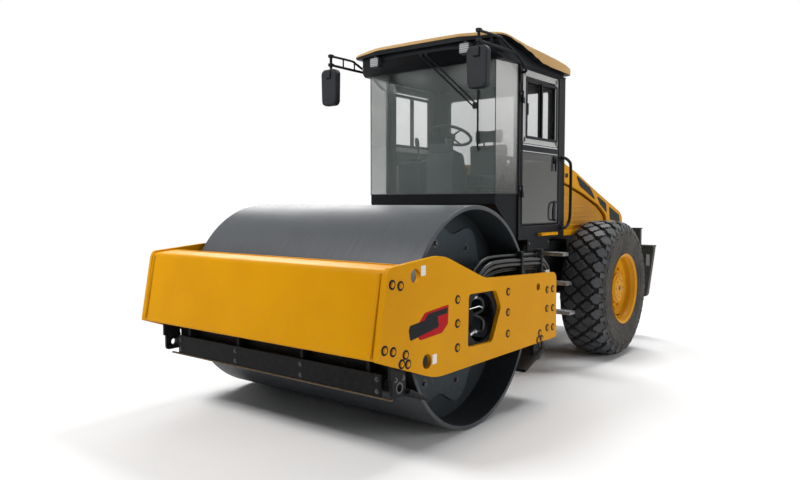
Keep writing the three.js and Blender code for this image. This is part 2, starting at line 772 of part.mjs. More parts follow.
function makeCabFloor(group) {
  const c = cab;
  const bottom = rail.topZ + seat;
  const block = prism("z", cabPlan(0), bottom, c.sillZ);
  const underNose = prism(
    "x",
    [[c.frontY - 20, bottom - 20], [c.frontY - 20, c.noseZ + 21], [c.noseBackY, bottom], [c.noseBackY, bottom - 20]],
    -c.sideX - 5,
    c.sideX + 5,
  );
  const inside = prism("z", cabPlan(c.wallThick, -50), bottom, c.sillZ + 20).intersect(
    prism(
      "x",
      [
        [c.frontY + 20, c.sillZ + 30],
        [c.frontY + 20, c.noseZ + 35],
        [c.noseBackY + 10, c.floorZ],
        [c.rearY + 20, c.floorZ],
        [c.rearY + 20, c.sillZ + 30],
      ],
      -c.sideX,
      c.sideX,
    ),
  );
  const behindPosts = box(-c.sideX - 5, c.sideX + 5, c.postY - seat, c.rearY + 20, c.floorZ, c.sillZ + 20);
  piece(group, "cab_floor", cut(block, underNose, inside, behindPosts), paint.black);
}

const wallFoot = cab.floorZ + seat;
const wallTop = cab.eaveZ - seat;

function knuckle(side, z) {
  return bar("z", door.knuckleRadius, -z - door.knuckleHeight, -z, [side * door.hingeX, door.hingeY, 0], 10)
    .mirror([0, 0, 1]);
}

function makeCabSide(group, side) {
  const c = cab;
  const inner = side * (c.sideX - c.frameThick);
  const outer = side * c.sideX;
  const wall = prism("x", [[c.postY, wallFoot], [c.postY, wallTop], [c.rearY, wallTop], [c.rearY, wallFoot]], inner, outer);
  const opening = [
    [doorway.frontY, doorway.bottomZ, 25],
    [doorway.frontY, doorway.topZ, 25],
    [doorway.rearY, doorway.topZ, 25],
    [doorway.rearY, doorway.bottomZ, 25],
  ];
  const hinges = door.knuckleZs.map((z) => {
    const base = z + door.knuckleHeight + running;
    return join(
      knuckle(side, base),
      box(side * (c.sideX + 1), side * (c.sideX + 7), door.hingeY - 36, door.hingeY, base, base + door.knuckleHeight),
      box(outer - side * 5, side * (c.sideX + 7), door.hingeY - 36, door.hingeY - 9, base, base + door.knuckleHeight),
    );
  });
  const whole = join(cut(wall, prism("x", opening, inner - side * 5, outer + side * 5)), ...hinges);
  piece(group, `cab_side_${sideName(side)}`, whole, paint.black);
}

function makeDoor(group, side) {
  const [outer, inner] = [side * cab.sideX, side * (cab.sideX - door.thick)];
  const rect = (edge, bottom, top, radius) => [
    [doorway.frontY + edge, bottom, radius],
    [doorway.frontY + edge, top, radius],
    [doorway.rearY - edge, top, radius],
    [doorway.rearY - edge, bottom, radius],
  ];
  const windowTop = doorway.topZ - door.gap - door.windowEdge;
  const leaf = prism("x", rect(door.gap, doorway.bottomZ + door.gap, doorway.topZ - door.gap, 20), inner, outer);
  const paneEdge = door.gap + door.windowEdge;
  const opening = rect(paneEdge, door.windowBottomZ, windowTop, 30);
  const paneX = side * (cab.sideX - door.thick / 2 - cab.glass);
  const cross = box(
    paneX + side * (cab.glass + seat),
    outer,
    doorway.frontY + paneEdge - 5,
    doorway.rearY - paneEdge + 5,
    door.barZ,
    door.barZ + door.barHeight,
  );
  const hinges = door.knuckleZs.map((z) =>
    join(
      knuckle(side, z),
      box(side * (cab.sideX + 1), side * (cab.sideX + 7), door.hingeY, door.hingeY + 45, z, z + door.knuckleHeight),
      box(outer - side * 5, side * (cab.sideX + 7), door.hingeY + 14, door.hingeY + 45, z, z + door.knuckleHeight),
    ),
  );
  const frame = cut(leaf, prism("x", opening, inner - side * 5, outer + side * 5));
  piece(group, `door_${sideName(side)}`, join(frame, cross, ...hinges), paint.black);
  const pane = rect(paneEdge + seat, door.windowBottomZ + seat, windowTop - seat, 30);
  piece(group, `door_glass_${sideName(side)}`, prism("x", pane, paneX, paneX + side * cab.glass), paint.glass);
}

function makeCabRear(group) {
  const c = cab;
  const half = c.sideX - c.frameThick - seat;
  const w = rearWindow;
  const front = c.rearY - c.frameThick;
  const windowEdge = (edge) => [
    [-w.halfWidth + edge, w.bottomZ + edge, 30],
    [w.halfWidth - edge, w.bottomZ + edge, 30],
    [w.halfWidth - edge, w.topZ - edge, 30],
    [-w.halfWidth + edge, w.topZ - edge, 30],
  ];
  const wall = cut(
    box(-half, half, front, c.rearY, wallFoot, wallTop),
    prism("y", windowEdge(0), front - 5, c.rearY + 5),
  );
  piece(group, "cab_rear_wall", wall, paint.black);
  const pane = prism("y", windowEdge(seat), front + 25, front + 25 + c.glass);
  piece(group, "rear_window", pane, paint.glass);
}

function makeFrontGlass(group) {
  const c = cab;
  const bottom = c.sillZ + seat;
  const screen = box(-c.frontHalf + seat, c.frontHalf - seat, c.frontY, c.frontY + c.glass, bottom, wallTop);
  piece(group, "windscreen", screen, paint.glass);
  overSides((s) => {
    const plan = [
      [s * (c.frontHalf + seat), c.frontY],
      [s * (c.postHalf + seat), c.postY - seat],
      [s * (c.postHalf - c.glass + seat), c.postY - seat],
      [s * (c.frontHalf - c.glass + seat), c.frontY + c.glass + seat],
      [s * (c.frontHalf + seat), c.frontY + c.glass + seat],
    ];
    piece(group, `corner_glass_${sideName(s)}`, prism("z", plan.slice(0, 4), bottom, wallTop)
      .subtract(box(s * (c.frontHalf - 20), s * (c.frontHalf + seat / 2), c.frontY - 5, c.frontY + c.glass + seat, 0, 4000)),
    paint.glass);
  });
}

// Half outline of the roof seen from above, its front edge bowed forward.
const roofPlan = (half, frontY, rearY, bow) => [
  [-half, frontY + bow, half * 0.1],
  [-half * 0.55, frontY + bow * 0.2, half * 0.26],
  [half * 0.55, frontY + bow * 0.2, half * 0.26],
  [half, frontY + bow, half * 0.1],
  [half, rearY, 70],
  [-half, rearY, 70],
];

const roofUnderside = [
  [roof.frontY - 20, cab.eaveZ + 130],
  [cab.frontY - 19, cab.eaveZ + 157],
  [cab.frontY + 358, cab.eaveZ + 100, 120],
  [cab.frontY + 602, cab.eaveZ + 41, 120],
  [roof.rearY + 20, cab.eaveZ + 25],
];

function makeRoof(group) {
  const r = roof;
  const crest = [
    [r.rearY + 20, cab.eaveZ + 80],
    [r.rearY - 90, cab.eaveZ + 113, 60],
    [cab.frontY + 599, cab.eaveZ + 141, 120],
    [cab.frontY + 320, cab.eaveZ + 147, 120],
    [cab.frontY - 19, cab.eaveZ + 183, 120],
    [r.frontY - 20, cab.eaveZ + 157],
  ];
  const lift = 40;
  const section = [...roofUnderside, ...crest.map(([y, z, rad]) => [y, z + lift, rad])];
  const top = crest[0][1] + lift;
  const [floorOfCut, topOfCut] = [cab.eaveZ - 65, cab.eaveZ + 335];
  const across = [
    [-r.halfWidth - 5, floorOfCut],
    [-r.halfWidth - 5, cab.eaveZ + 125],
    [-r.halfWidth * 0.6, top + 80 + r.crown, r.halfWidth * 0.36],
    [r.halfWidth * 0.6, top + 80 + r.crown, r.halfWidth * 0.36],
    [r.halfWidth + 5, cab.eaveZ + 125],
    [r.halfWidth + 5, floorOfCut],
  ];
  const skin = prism("x", section, -r.halfWidth - 5, r.halfWidth + 5)
    .intersect(prism("z", roofPlan(r.halfWidth, r.frontY, r.rearY, 130), floorOfCut, topOfCut, 8))
    .intersect(prism("y", across, r.frontY - 40, r.rearY + 40, 8));
  piece(group, "roof_skin", skin, paint.cream);
}

function makeRoofLiner(group) {
  const r = roof;
  const c = cab;
  const section = [
    ...roofUnderside.map(([y, z, rad]) => [y, z - seat, rad]),
    [r.rearY + 20, c.eaveZ],
    [c.frontY - 2, c.eaveZ],
    [r.frontY + 40, c.eaveZ + 105],
    [r.frontY - 20, c.eaveZ + 110],
  ];
  const liner = prism("x", section, -r.linerHalf, r.linerHalf).intersect(
    prism("z", roofPlan(r.linerHalf, r.frontY + 35, r.rearY - 25, 120), c.eaveZ - 65, c.eaveZ + 335, 8),
  );
  piece(group, "roof_liner", liner, paint.black);
}

// ---- Inside the cab ----

function makeSeat(group) {
  const s = seatPlace;
  const base = prism(
    "x",
    [[s.y + 90, wallFoot], [s.y + 60, s.baseZ], [s.y + s.depth - 30, s.baseZ], [s.y + s.depth - 60, wallFoot]],
    -s.halfWidth + 60,
    s.halfWidth - 60,
  );
  piece(group, "seat_base", base, paint.black);
  const soft = 35;
  const cushion = prism(
    "x",
    [
      [s.y, s.baseZ + seat, soft],
      [s.y, s.cushionTopZ, soft * 1.6],
      [s.y + s.depth, s.cushionTopZ - 20, soft],
      [s.y + s.depth, s.baseZ + seat, soft],
    ],
    -s.halfWidth,
    s.halfWidth,
  );
  piece(group, "seat_cushion", cushion, paint.trim);
  const backY = s.y + s.depth + seat;
  const back = prism(
    "x",
    [
      [backY, s.baseZ + 20, soft],
      [backY + 10, s.backTopZ, soft * 1.4],
      [backY + 10 + s.backThick, s.backTopZ, soft * 1.4],
      [backY + s.backThick, s.baseZ + 20, soft],
    ],
    -s.halfWidth + 10,
    s.halfWidth - 10,
  );
  piece(group, "seat_back", back, paint.trim);
}

const columnAxis = new THREE.Vector3(0, Math.sin(wheelRing.tilt), Math.cos(wheelRing.tilt));
const ringCentre = new THREE.Vector3(0, wheelRing.y, wheelRing.z);

function makeConsole(group) {
  const foot = ringCentre.clone().addScaledVector(columnAxis, -330);
  const stub = ringCentre.clone().addScaledVector(columnAxis, -12);
  const collar = ringCentre.clone().addScaledVector(columnAxis, -45);
  const body = prism(
    "x",
    [
      [1090, 1500],
      [1085, 1850, 40],
      [1110, 1975, 30],
      [1260, 1945, 30],
      [1330, 1700, 60],
      [1330, wallFoot],
      [1262, wallFoot],
    ],
    -130,
    150,
  );
  const column = join(
    rod(foot.toArray(), collar.toArray(), 38, 20),
    rod(foot.toArray(), stub.toArray(), 14, 20),
  );
  piece(group, "console", join(body, column), paint.trim);
}

function makeSteeringWheel(group) {
  const w = wheelRing;
  const sides = 20;
  const circle = Array.from({ length: 6 }, (_, i) => {
    const angle = (i * Math.PI) / 3;
    return [w.tube * Math.sin(angle), w.radius + w.tube * Math.cos(angle)];
  });
  const ring = turned("y", [...circle, circle[0]], sides);
  const hub = bar("y", 38, -40, 16);
  const spokes = [0, 1, 2].map((i) => {
    const angle = (i * 2 * Math.PI) / 3 + Math.PI / 2;
    const reach = w.radius - 2;
    return rod([0, -8, 0], [reach * Math.cos(angle), 0, reach * Math.sin(angle)], 9, 10);
  });
  const hole = bar("y", aroundFlats(14 + running, 20), -50, -12 + running, [0, 0, 0], 20);
  const whole = cut(join(ring, hub, ...spokes), hole);
  const turn = new THREE.Quaternion().setFromUnitVectors(THREE.Object3D.DEFAULT_UP, columnAxis);
  const wheelGroup = new THREE.Group();
  wheelGroup.position.copy(ringCentre);
  wheelGroup.quaternion.copy(turn);
  piece(wheelGroup, "steering_wheel", whole, paint.black);
  group.add(wheelGroup);
}

function makeSideConsole(group) {
  const inner = -(cab.sideX - cab.frameThick - seat);
  const shape = prism(
    "x",
    [[1340, 1620], [1330, 1900, 40], [1480, 1930, 40], [1900, 1900, 60], [1960, 1700], [1960, wallFoot], [1420, wallFoot]],
    inner + 20,
    inner + 290,
  );
  piece(group, "side_console", shape, paint.trim);
}

// ---- Mirrors, handrails ----

function makeMirror(group, side) {
  const m = mirror;
  const post = cab.sideX + seat;
  const rootY = cab.postY + 22;
  const outX = cab.sideX + 60;
  const arms = [0, 1].map((i) => {
    const drop = 62 * i;
    return tube(
      [
        [side * (post + 3), rootY, cab.eaveZ - 55 - drop],
        [side * (outX - 8), rootY - 6, cab.eaveZ - 53 - drop],
        [side * outX, rootY - 60, cab.eaveZ - 40 - drop],
        [side * (outX - 4), cab.frontY - 46, cab.eaveZ + 35 - drop],
        [side * m.x, m.y + 10, cab.eaveZ + 113 - drop],
        [side * m.x, m.y - 4, cab.eaveZ + 114 - drop],
      ],
      m.tube,
      9,
    );
  });
  const flange = box(side * post, side * (post + 8), rootY - 21, rootY + 21, cab.eaveZ - 145, cab.eaveZ - 25);
  const hanger = rod([side * m.x, m.y, m.headTopZ - 30], [side * m.x, m.y, cab.eaveZ + 127], m.tube);
  const [w, d, top] = [m.headWidth / 2, m.headThick / 2, m.headTopZ];
  const head = prism(
    "y",
    [
      [side * m.x - w, top, 45],
      [side * m.x + w, top, 45],
      [side * m.x + w - 8, top - m.headHeight, 45],
      [side * m.x - w + 8, top - m.headHeight, 45],
    ],
    m.y - d,
    m.y + d,
    5,
  );
  piece(group, `mirror_${sideName(side)}`, join(...arms, flange, hanger, head), paint.black);
}

function makeHandrail(group, side) {
  const h = handrail;
  const foot = side * (cab.sideX + seat);
  const bow = tube(
    [
      [foot, h.y, h.topZ],
      [side * (h.x - 6), h.y, h.topZ],
      [side * h.x, h.y + 40, h.topZ - 4],
      [side * h.x, h.bowY, h.topZ - 60],
      [side * h.x, h.bowY + 4, 1650],
      [side * h.x, h.bowY - 10, h.bottomZ + 70],
      [side * h.x, h.y + 30, h.bottomZ],
      [side * (h.x - 6), h.y - 5, h.bottomZ],
      [foot, h.y - 5, h.bottomZ],
    ],
    h.tube,
    18,
  );
  piece(group, `handrail_${sideName(side)}`, bow, paint.black);
}

// ---- The machine ----

const machine = new THREE.Group();

const drumEnd = new THREE.Group();
drumEnd.position.set(0, 0, drum.radius);
makeDrum(drumEnd);
machine.add(drumEnd);

const frontFrame = new THREE.Group();
machine.add(frontFrame);
overSides((side) => makeSidePlate(frontFrame, side));
makeFrontBeam(frontFrame);
makeRearBeam(frontFrame);
overSides((side) => makeDrumCarrier(frontFrame, side));
makeScraper(frontFrame, "front_scraper", -855, 460, 345, -889, 464, frontBeam.bottomZ);
makeScraper(frontFrame, "rear_scraper", 945, 420, 275, 840, 365, rearBeam.bottomZ);
makeHoses(frontFrame);

const centre = new THREE.Group();
machine.add(centre);
makeCentreBlock(centre);
overSides((side) => makeSteeringCylinder(centre, side));

const rear = new THREE.Group();
machine.add(rear);
makeRearFrame(rear);
makeRearAxle(rear);
overSides((side) => makeTyre(rear, side));
overSides((side) => makeRim(rear, side));
makeTank(rear, 1, "fuel_tank");
makeTank(rear, -1, "hydraulic_tank");
overSides((side) => makeSteps(rear, side));
makeEngine(rear);
makeEngineDeck(rear);
makeHood(rear);
overSides((side) => makeSidePanel(rear, side));
makeCounterweight(rear);

const cabin = new THREE.Group();
machine.add(cabin);
makeCabFloor(cabin);
overSides((side) => makeCabSide(cabin, side));
overSides((side) => makeDoor(cabin, side));
makeCabRear(cabin);
makeFrontGlass(cabin);
makeRoofLiner(cabin);
makeRoof(cabin);
makeSeat(cabin);
makeConsole(cabin);
makeSteeringWheel(cabin);
makeSideConsole(cabin);
overSides((side) => makeMirror(cabin, side));
overSides((side) => makeHandrail(cabin, side));

machine.updateMatrixWorld(true);
const reach = new THREE.Box3().setFromObject(machine);
const middle = reach.getCenter(new THREE.Vector3());
machine.position.set(-middle.x, -middle.y, -reach.min.z);

export default machine;
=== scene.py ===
import json
import math

import bmesh
import bpy
from mathutils import Matrix, Vector
from mathutils.bvhtree import BVHTree

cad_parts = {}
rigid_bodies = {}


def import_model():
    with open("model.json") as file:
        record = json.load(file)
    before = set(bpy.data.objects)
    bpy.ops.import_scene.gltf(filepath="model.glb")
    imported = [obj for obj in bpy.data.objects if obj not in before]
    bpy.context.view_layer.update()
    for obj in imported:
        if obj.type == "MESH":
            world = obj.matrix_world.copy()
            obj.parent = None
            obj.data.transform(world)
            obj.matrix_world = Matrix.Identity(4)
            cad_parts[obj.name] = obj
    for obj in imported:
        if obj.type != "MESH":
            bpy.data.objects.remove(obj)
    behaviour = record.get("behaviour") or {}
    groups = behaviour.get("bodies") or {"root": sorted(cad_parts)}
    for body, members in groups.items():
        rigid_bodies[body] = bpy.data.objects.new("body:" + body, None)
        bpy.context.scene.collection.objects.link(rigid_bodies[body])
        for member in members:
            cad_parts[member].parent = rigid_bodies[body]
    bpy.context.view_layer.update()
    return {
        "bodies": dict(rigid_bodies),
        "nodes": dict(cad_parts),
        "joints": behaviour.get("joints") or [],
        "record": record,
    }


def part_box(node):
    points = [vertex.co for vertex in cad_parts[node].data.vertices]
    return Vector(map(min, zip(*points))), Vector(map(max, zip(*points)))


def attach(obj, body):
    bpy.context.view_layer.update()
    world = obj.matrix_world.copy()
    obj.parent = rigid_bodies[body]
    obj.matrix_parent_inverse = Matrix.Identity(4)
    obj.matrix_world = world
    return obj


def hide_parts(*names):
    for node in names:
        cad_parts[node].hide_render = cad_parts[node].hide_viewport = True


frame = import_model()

nodes = frame["nodes"]
drumLow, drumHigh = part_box("drum")
drumY = (drumLow.y + drumHigh.y) / 2
sides = (("left", 1), ("right", -1))


def spot(x, y, z):  # y is counted from the drum's axis, here and in every shape below
    return Vector((x, y + drumY, z))


# camera, floor and light

view = {"eye": (3.4666, -3.9514, 1.5163), "turn": 37.69, "dip": 3.09, "lens": 31.04}
cameraData = bpy.data.cameras.new("camera")
cameraData.lens = view["lens"]
cameraData.sensor_width = 36
cameraData.clip_end = 200
camera = bpy.data.objects.new("camera", cameraData)
camera.location = spot(*view["eye"])
camera.rotation_euler = (math.radians(90 - view["dip"]), 0, math.radians(view["turn"]))
bpy.context.scene.collection.objects.link(camera)
bpy.context.scene.camera = camera
bpy.context.scene.view_settings.view_transform = "Standard"


# a signal is an output of a material's nodes, so that masks add and multiply as plain numbers do
class Signal:
    def __init__(self, finish, socket):
        self.finish = finish
        self.socket = socket

    def math(self, operation, first, second):
        return self.finish.node("Math", {"operation": operation}, {0: first, 1: second})

    def __add__(self, other):
        return self.math("ADD", self, other)

    def __sub__(self, other):
        return self.math("SUBTRACT", self, other)

    def __rsub__(self, other):
        return self.math("SUBTRACT", other, self)

    def __mul__(self, other):
        return self.math("MULTIPLY", self, other)

    __radd__ = __add__
    __rmul__ = __mul__

    def between(self, low, high):  # 0 below low, 1 above high
        span = {"Value": self, "From Min": low, "From Max": high}
        return self.finish.node("MapRange", {"interpolation_type": "SMOOTHSTEP"}, span)


class Finish:
    def __init__(self, name, **surface):
        self.material = bpy.data.materials.new(name)
        self.material.use_nodes = True
        self.tree = self.material.node_tree
        self.tree.nodes.clear()
        self.out = self.tree.nodes.new("ShaderNodeOutputMaterial")
        self.shader = self.tree.nodes.new("ShaderNodeBsdfPrincipled")
        self.tree.links.new(self.shader.outputs[0], self.out.inputs[0])
        self.set(**surface)
        self.place = self.node("TexCoord", output="Object")
        axes = [self.node("SeparateXYZ", sockets={0: self.place}, output=i) for i in range(3)]
        self.x, self.y, self.z = axes

    def node(self, kind, settings=None, sockets=None, output=0):
        made = self.tree.nodes.new("ShaderNode" + kind)
        for key, value in (settings or {}).items():
            setattr(made, key, value)
        for key, value in (sockets or {}).items():
            self.feed(made.inputs[key], value)
        return Signal(self, made.outputs[output])

    def feed(self, socket, value):
        if isinstance(value, Signal):
            self.tree.links.new(value.socket, socket)
        else:
            socket.default_value = value

    def set(self, **surface):  # coatWeight=0.3 sets the shader's Coat Weight
        for key, value in surface.items():
            name = "".join(" " + c if c.isupper() else c for c in key).title().replace("Ior", "IOR")
            if not isinstance(value, Signal) and isinstance(value, (tuple, list)) and len(value) == 3:
                value = (*value, 1)
            self.feed(self.shader.inputs[name], value)

    def noise(self, scale, detail=3, stretch=None, roughness=0.55):
        where = self.place
        if stretch:
            where = self.node("Mapping", sockets={"Vector": self.place, "Scale": stretch})
        sockets = {"Vector": where, "Scale": scale, "Detail": detail, "Roughness": roughness}
        return self.node("TexNoise", sockets=sockets)

    def mix(self, mask, first, second):
        first, second = [v if isinstance(v, Signal) else (*v, 1) for v in (first, second)]
        return self.node("Mix", {"data_type": "RGBA"}, {0: mask, 6: first, 7: second}, output=2)

    def bump(self, height, distance, strength=1.0):
        return self.node("Bump", sockets={"Height": height, "Distance": distance, "Strength": strength})


brownDust = (0.20, 0.17, 0.13)
greyDust = (0.06, 0.055, 0.05)
paleDust = (0.12, 0.11, 0.1)
cabDust = (0.05, 0.05, 0.045)


# paints: a slow drift of shade, fine orange peel, and dust that gathers low down
def paintFinish(name, color, shade, rough, dust, dustColor=brownDust, shine=0.06):
    f = Finish(name, specularIorLevel=shine)
    drift = f.noise(1.6, 4)
    grain = f.noise(26, 5)
    fine = f.noise(240, 2)
    low = 1 - f.z.between(0.15, 1.15)
    dusty = low * grain.between(0.44, 0.74) * dust
    base = f.mix(drift.between(0.32, 0.7), color, shade)
    f.set(baseColor=f.mix(dusty, base, dustColor), roughness=rough + dusty * 0.5 + grain * 0.05)
    f.set(normal=f.bump(fine + grain * 0.4, 0.0003, 0.5))
    return f.material


yellowPaint = paintFinish("yellowPaint", (0.66, 0.300, 0.002), (0.61, 0.268, 0.002), 0.42, 0.16)
weightPaint = paintFinish("weightPaint", (0.060, 0.060, 0.054), (0.075, 0.075, 0.067), 0.5, 0.3)
deepYellow = paintFinish("deepYellowPaint", (0.58, 0.262, 0.004), (0.50, 0.215, 0.004), 0.42, 0.2, shine=0.12)
coal, soot = (0.008, 0.009, 0.010), (0.012, 0.013, 0.014)
blackPaint = paintFinish("blackPaint", coal, soot, 0.45, 0.35, greyDust, 0.09)
cabBlack = paintFinish("cabBlackPaint", (0.005, 0.006, 0.008), (0.008, 0.009, 0.011), 0.4, 0.2, cabDust, 0.09)
slatePaint = paintFinish("slatePaint", (0.060, 0.075, 0.085), (0.045, 0.055, 0.063), 0.4, 0.3, paleDust)
innerPaint = paintFinish("innerPaint", (0.024, 0.029, 0.033), (0.030, 0.036, 0.041), 0.45, 0.3, greyDust)
roofTan = paintFinish("roofTanPaint", (0.54, 0.35, 0.155), (0.48, 0.30, 0.125), 0.42, 0.0)
redPaint = paintFinish("redPaint", (0.42, 0.006, 0.010), (0.34, 0.005, 0.008), 0.35, 0.1)
whitePaint = paintFinish("whitePaint", (0.75, 0.75, 0.73), (0.68, 0.68, 0.66), 0.4, 0.1)


def drumSteelFinish():  # rolled steel, polished round its width by the ground
    f = Finish("drumSteel", metallic=0.2, specularIorLevel=0.25, coatWeight=0.12, coatRoughness=0.32)
    streak = f.noise(9, 4, stretch=(1, 22, 22))
    rings = f.noise(6, 5, stretch=(40, 1, 1))
    patch = f.noise(3.2, 5)
    base = f.mix(rings.between(0.35, 0.7), (0.043, 0.048, 0.055), (0.060, 0.065, 0.072))
    base = f.mix(patch.between(0.55, 0.85) * 0.5, base, (0.034, 0.033, 0.032))
    f.set(baseColor=base, roughness=0.44 + rings * 0.12 + patch * 0.08)
    f.set(normal=f.bump(rings + streak * 0.3, 0.0006, 0.35))
    return f.material


def bareSteelFinish(name, color, dark, rough, metal=1.0, scale=60):
    f = Finish(name, metallic=metal)
    grain = f.noise(scale, 4)
    brush = f.noise(scale * 0.5, 3, stretch=(1, 12, 1))
    f.set(baseColor=f.mix(grain.between(0.35, 0.7), color, dark), roughness=rough + brush * 0.15)
    f.set(normal=f.bump(brush, 0.0003, 0.4))
    return f.material


def rubberFinish(name, color, dusty, scale=30, bumps=0.0006, rough=0.78):
    f = Finish(name, specularIorLevel=0.35)
    patch = f.noise(4.5, 5)
    grain = f.noise(scale, 4)
    fine = f.noise(scale * 9, 2)
    base = f.mix((patch * 0.6 + grain * 0.5).between(0.4, 0.8), color, dusty)
    f.set(baseColor=base, roughness=rough + grain * 0.12, normal=f.bump(grain + fine * 0.5, bumps, 0.6))
    return f.material


def plasticFinish(name, color, light, rough=0.55, scale=700):
    f = Finish(name, specularIorLevel=0.25)
    grain = f.noise(scale, 2)
    patch = f.noise(7, 3)
    f.set(baseColor=f.mix(patch.between(0.35, 0.7), color, light), roughness=rough + grain * 0.1)
    f.set(normal=f.bump(grain, 0.0004, 0.5))
    return f.material


# glass that is clearer or more veiled with height, the veil partly dust and partly painted reflection; a
# graded one changes colour with height too, a painted reflection pale towards the top
def glassFinish(name, tint, veil, low, high, zLow, zHigh, graded=False):
    f = Finish(name, roughness=0.04, specularIorLevel=0.5)
    smear = f.noise(2.2, 4, stretch=(1, 1, 0.4))
    rise = f.z.between(zLow, zHigh)
    f.set(baseColor=f.mix(rise if graded else smear.between(0.3, 0.75), tint, veil))
    f.set(alpha=low + rise * (high - low) + smear * 0.07)
    return f.material


def fabricFinish():  # woven seat cloth: two crossed threads on object coordinates
    f = Finish("seatCloth", roughness=0.92, sheenWeight=0.25)
    pitch = 2 * math.pi / 0.0032
    over = f.node("Math", {"operation": "SINE"}, {0: (f.x + f.z) * pitch})
    under = f.node("Math", {"operation": "SINE"}, {0: (f.x - f.z + f.y) * pitch})
    weave = over * under
    patch = f.noise(18, 3)
    base = f.mix(weave.between(-0.6, 0.8), (0.020, 0.021, 0.024), (0.050, 0.052, 0.058))
    f.set(baseColor=f.mix(patch.between(0.4, 0.8) * 0.4, base, (0.075, 0.075, 0.08)))
    f.set(normal=f.bump(weave, 0.0007, 0.7))
    return f.material


# lamp lenses: ribs across x, each rib's lighter glow stripe a painted glint
def lampFinish(name, color, glow, ribs=0.006):
    f = Finish(name, roughness=0.15, coatWeight=0.6, coatRoughness=0.05)
    wave = f.node("Math", {"operation": "SINE"}, {0: f.x * (2 * math.pi / ribs)})
    f.set(baseColor=f.mix(wave.between(-1, 1), color, glow), normal=f.bump(wave, 0.0008, 0.5))
    return f.material


drumSteel = drumSteelFinish()
brightSteel = bareSteelFinish("brightSteel", (0.55, 0.56, 0.57), (0.40, 0.41, 0.42), 0.28)
boltSteel = bareSteelFinish("boltSteel", (0.10, 0.10, 0.105), (0.05, 0.05, 0.052), 0.42, 0.8)
bladeSteel = bareSteelFinish("bladeSteel", (0.026, 0.022, 0.019), (0.052, 0.040, 0.031), 0.6, 0.3, 18)
wornLip = bareSteelFinish("wornLip", (0.16, 0.115, 0.060), (0.09, 0.065, 0.035), 0.6, 0.3, 18)
chrome = bareSteelFinish("chrome", (0.78, 0.79, 0.80), (0.70, 0.71, 0.72), 0.08, 1.0, 200)
tyreRubber = rubberFinish("tyreRubber", (0.032, 0.035, 0.040), (0.072, 0.073, 0.074), rough=0.5)
sidewallRubber = rubberFinish("sidewallRubber", (0.026, 0.024, 0.021), (0.074, 0.066, 0.057))
# the grooves' floor: painted shade, darker than the blocks and the sidewall
grooveShadeRubber = rubberFinish("grooveShadeRubber", (0.007, 0.007, 0.008), (0.020, 0.018, 0.016))
hoseRubber = rubberFinish("hoseRubber", (0.008, 0.008, 0.009), (0.014, 0.014, 0.015), 120, 0.0002, 0.3)
sealRubber = rubberFinish("sealRubber", (0.006, 0.006, 0.007), (0.012, 0.012, 0.013), 90, 0.0003, 0.6)
trimPlastic = plasticFinish("trimPlastic", (0.016, 0.018, 0.021), (0.030, 0.033, 0.038))
mirrorPlastic = plasticFinish("mirrorPlastic", (0.006, 0.008, 0.011), (0.010, 0.012, 0.015), 0.6, 500)
# the windscreen's grey veil, thicker lower down, is a painted reflection
frontGlass = glassFinish("frontGlass", (0.17, 0.21, 0.20), (0.26, 0.30, 0.29), 0.20, 0.12, 1.6, 2.6)
# the corner panes: a painted reflection, dark low down and pale towards the top
cornerGlass = glassFinish("cornerGlass", (0.14, 0.14, 0.13), (0.76, 0.77, 0.74), 0.28, 0.50, 1.45, 2.5, True)
sideGlass = glassFinish("sideGlass", (0.085, 0.092, 0.082), (0.125, 0.132, 0.120), 0.14, 0.04, 1.85, 1.95)
dustyGlass = glassFinish("dustyGlass", (0.056, 0.060, 0.054), (0.088, 0.092, 0.082), 0.86, 0.60, 1.3, 2.0)
# the pale panes round the sliding windows: a painted reflection, pale and nearly opaque
paleGlass = glassFinish("paleGlass", (0.46, 0.47, 0.45), (0.58, 0.59, 0.57), 0.78, 0.70, 1.9, 2.6)
rearGlass = glassFinish("rearGlass", (0.16, 0.18, 0.18), (0.22, 0.24, 0.23), 0.20, 0.14, 1.6, 2.6)
mirrorGlass = bareSteelFinish("mirrorGlass", (0.82, 0.83, 0.84), (0.80, 0.81, 0.82), 0.03, 1.0, 5)
seatCloth = fabricFinish()
whiteLens = lampFinish("whiteLens", (0.30, 0.31, 0.32), (0.48, 0.49, 0.50))
redLens = lampFinish("redLens", (0.28, 0.006, 0.006), (0.45, 0.012, 0.010))
amberLens = lampFinish("amberLens", (0.55, 0.16, 0.005), (0.75, 0.24, 0.01))
print("finishes made")


seenRays = ("Is Camera Ray", "Is Glossy Ray", "Is Transmission Ray")


# the floor is real near the machine, for its shadow, and fades to white further out
def floorFinish():
    f = Finish("floorWhite", baseColor=(0.86, 0.86, 0.86), roughness=0.9, specularIorLevel=0.1)
    oval = f.node("Mapping", sockets={"Vector": f.place, "Scale": (1.0, 0.65, 1.0)})
    far = f.node("VectorMath", {"operation": "LENGTH"}, {0: oval}, output="Value").between(1.2, 4.0)
    camera, glossy, through = [f.node("LightPath", output=kind) for kind in seenRays]
    glow = f.node("Emission", sockets={"Color": (1, 1, 1, 1), "Strength": 1.0})
    seen = far * (camera + glossy + through)
    mixed = f.node("MixShader", sockets={0: seen, 1: Signal(f, f.shader.outputs[0]), 2: glow})
    f.tree.links.new(mixed.socket, f.out.inputs[0])
    return f.material


floorMake = {"half": 60, "z": -0.002}
floorMesh = bpy.data.meshes.new("floor")
wide, level = floorMake["half"], floorMake["z"]
corners = [(u * wide, v * wide, level) for u, v in ((-1, -1), (1, -1), (1, 1), (-1, 1))]
floorMesh.from_pydata(corners, [], [(0, 1, 2, 3)])
floorMesh.materials.append(floorFinish())
floor = bpy.data.objects.new("floor", floorMesh)
bpy.context.scene.collection.objects.link(floor)

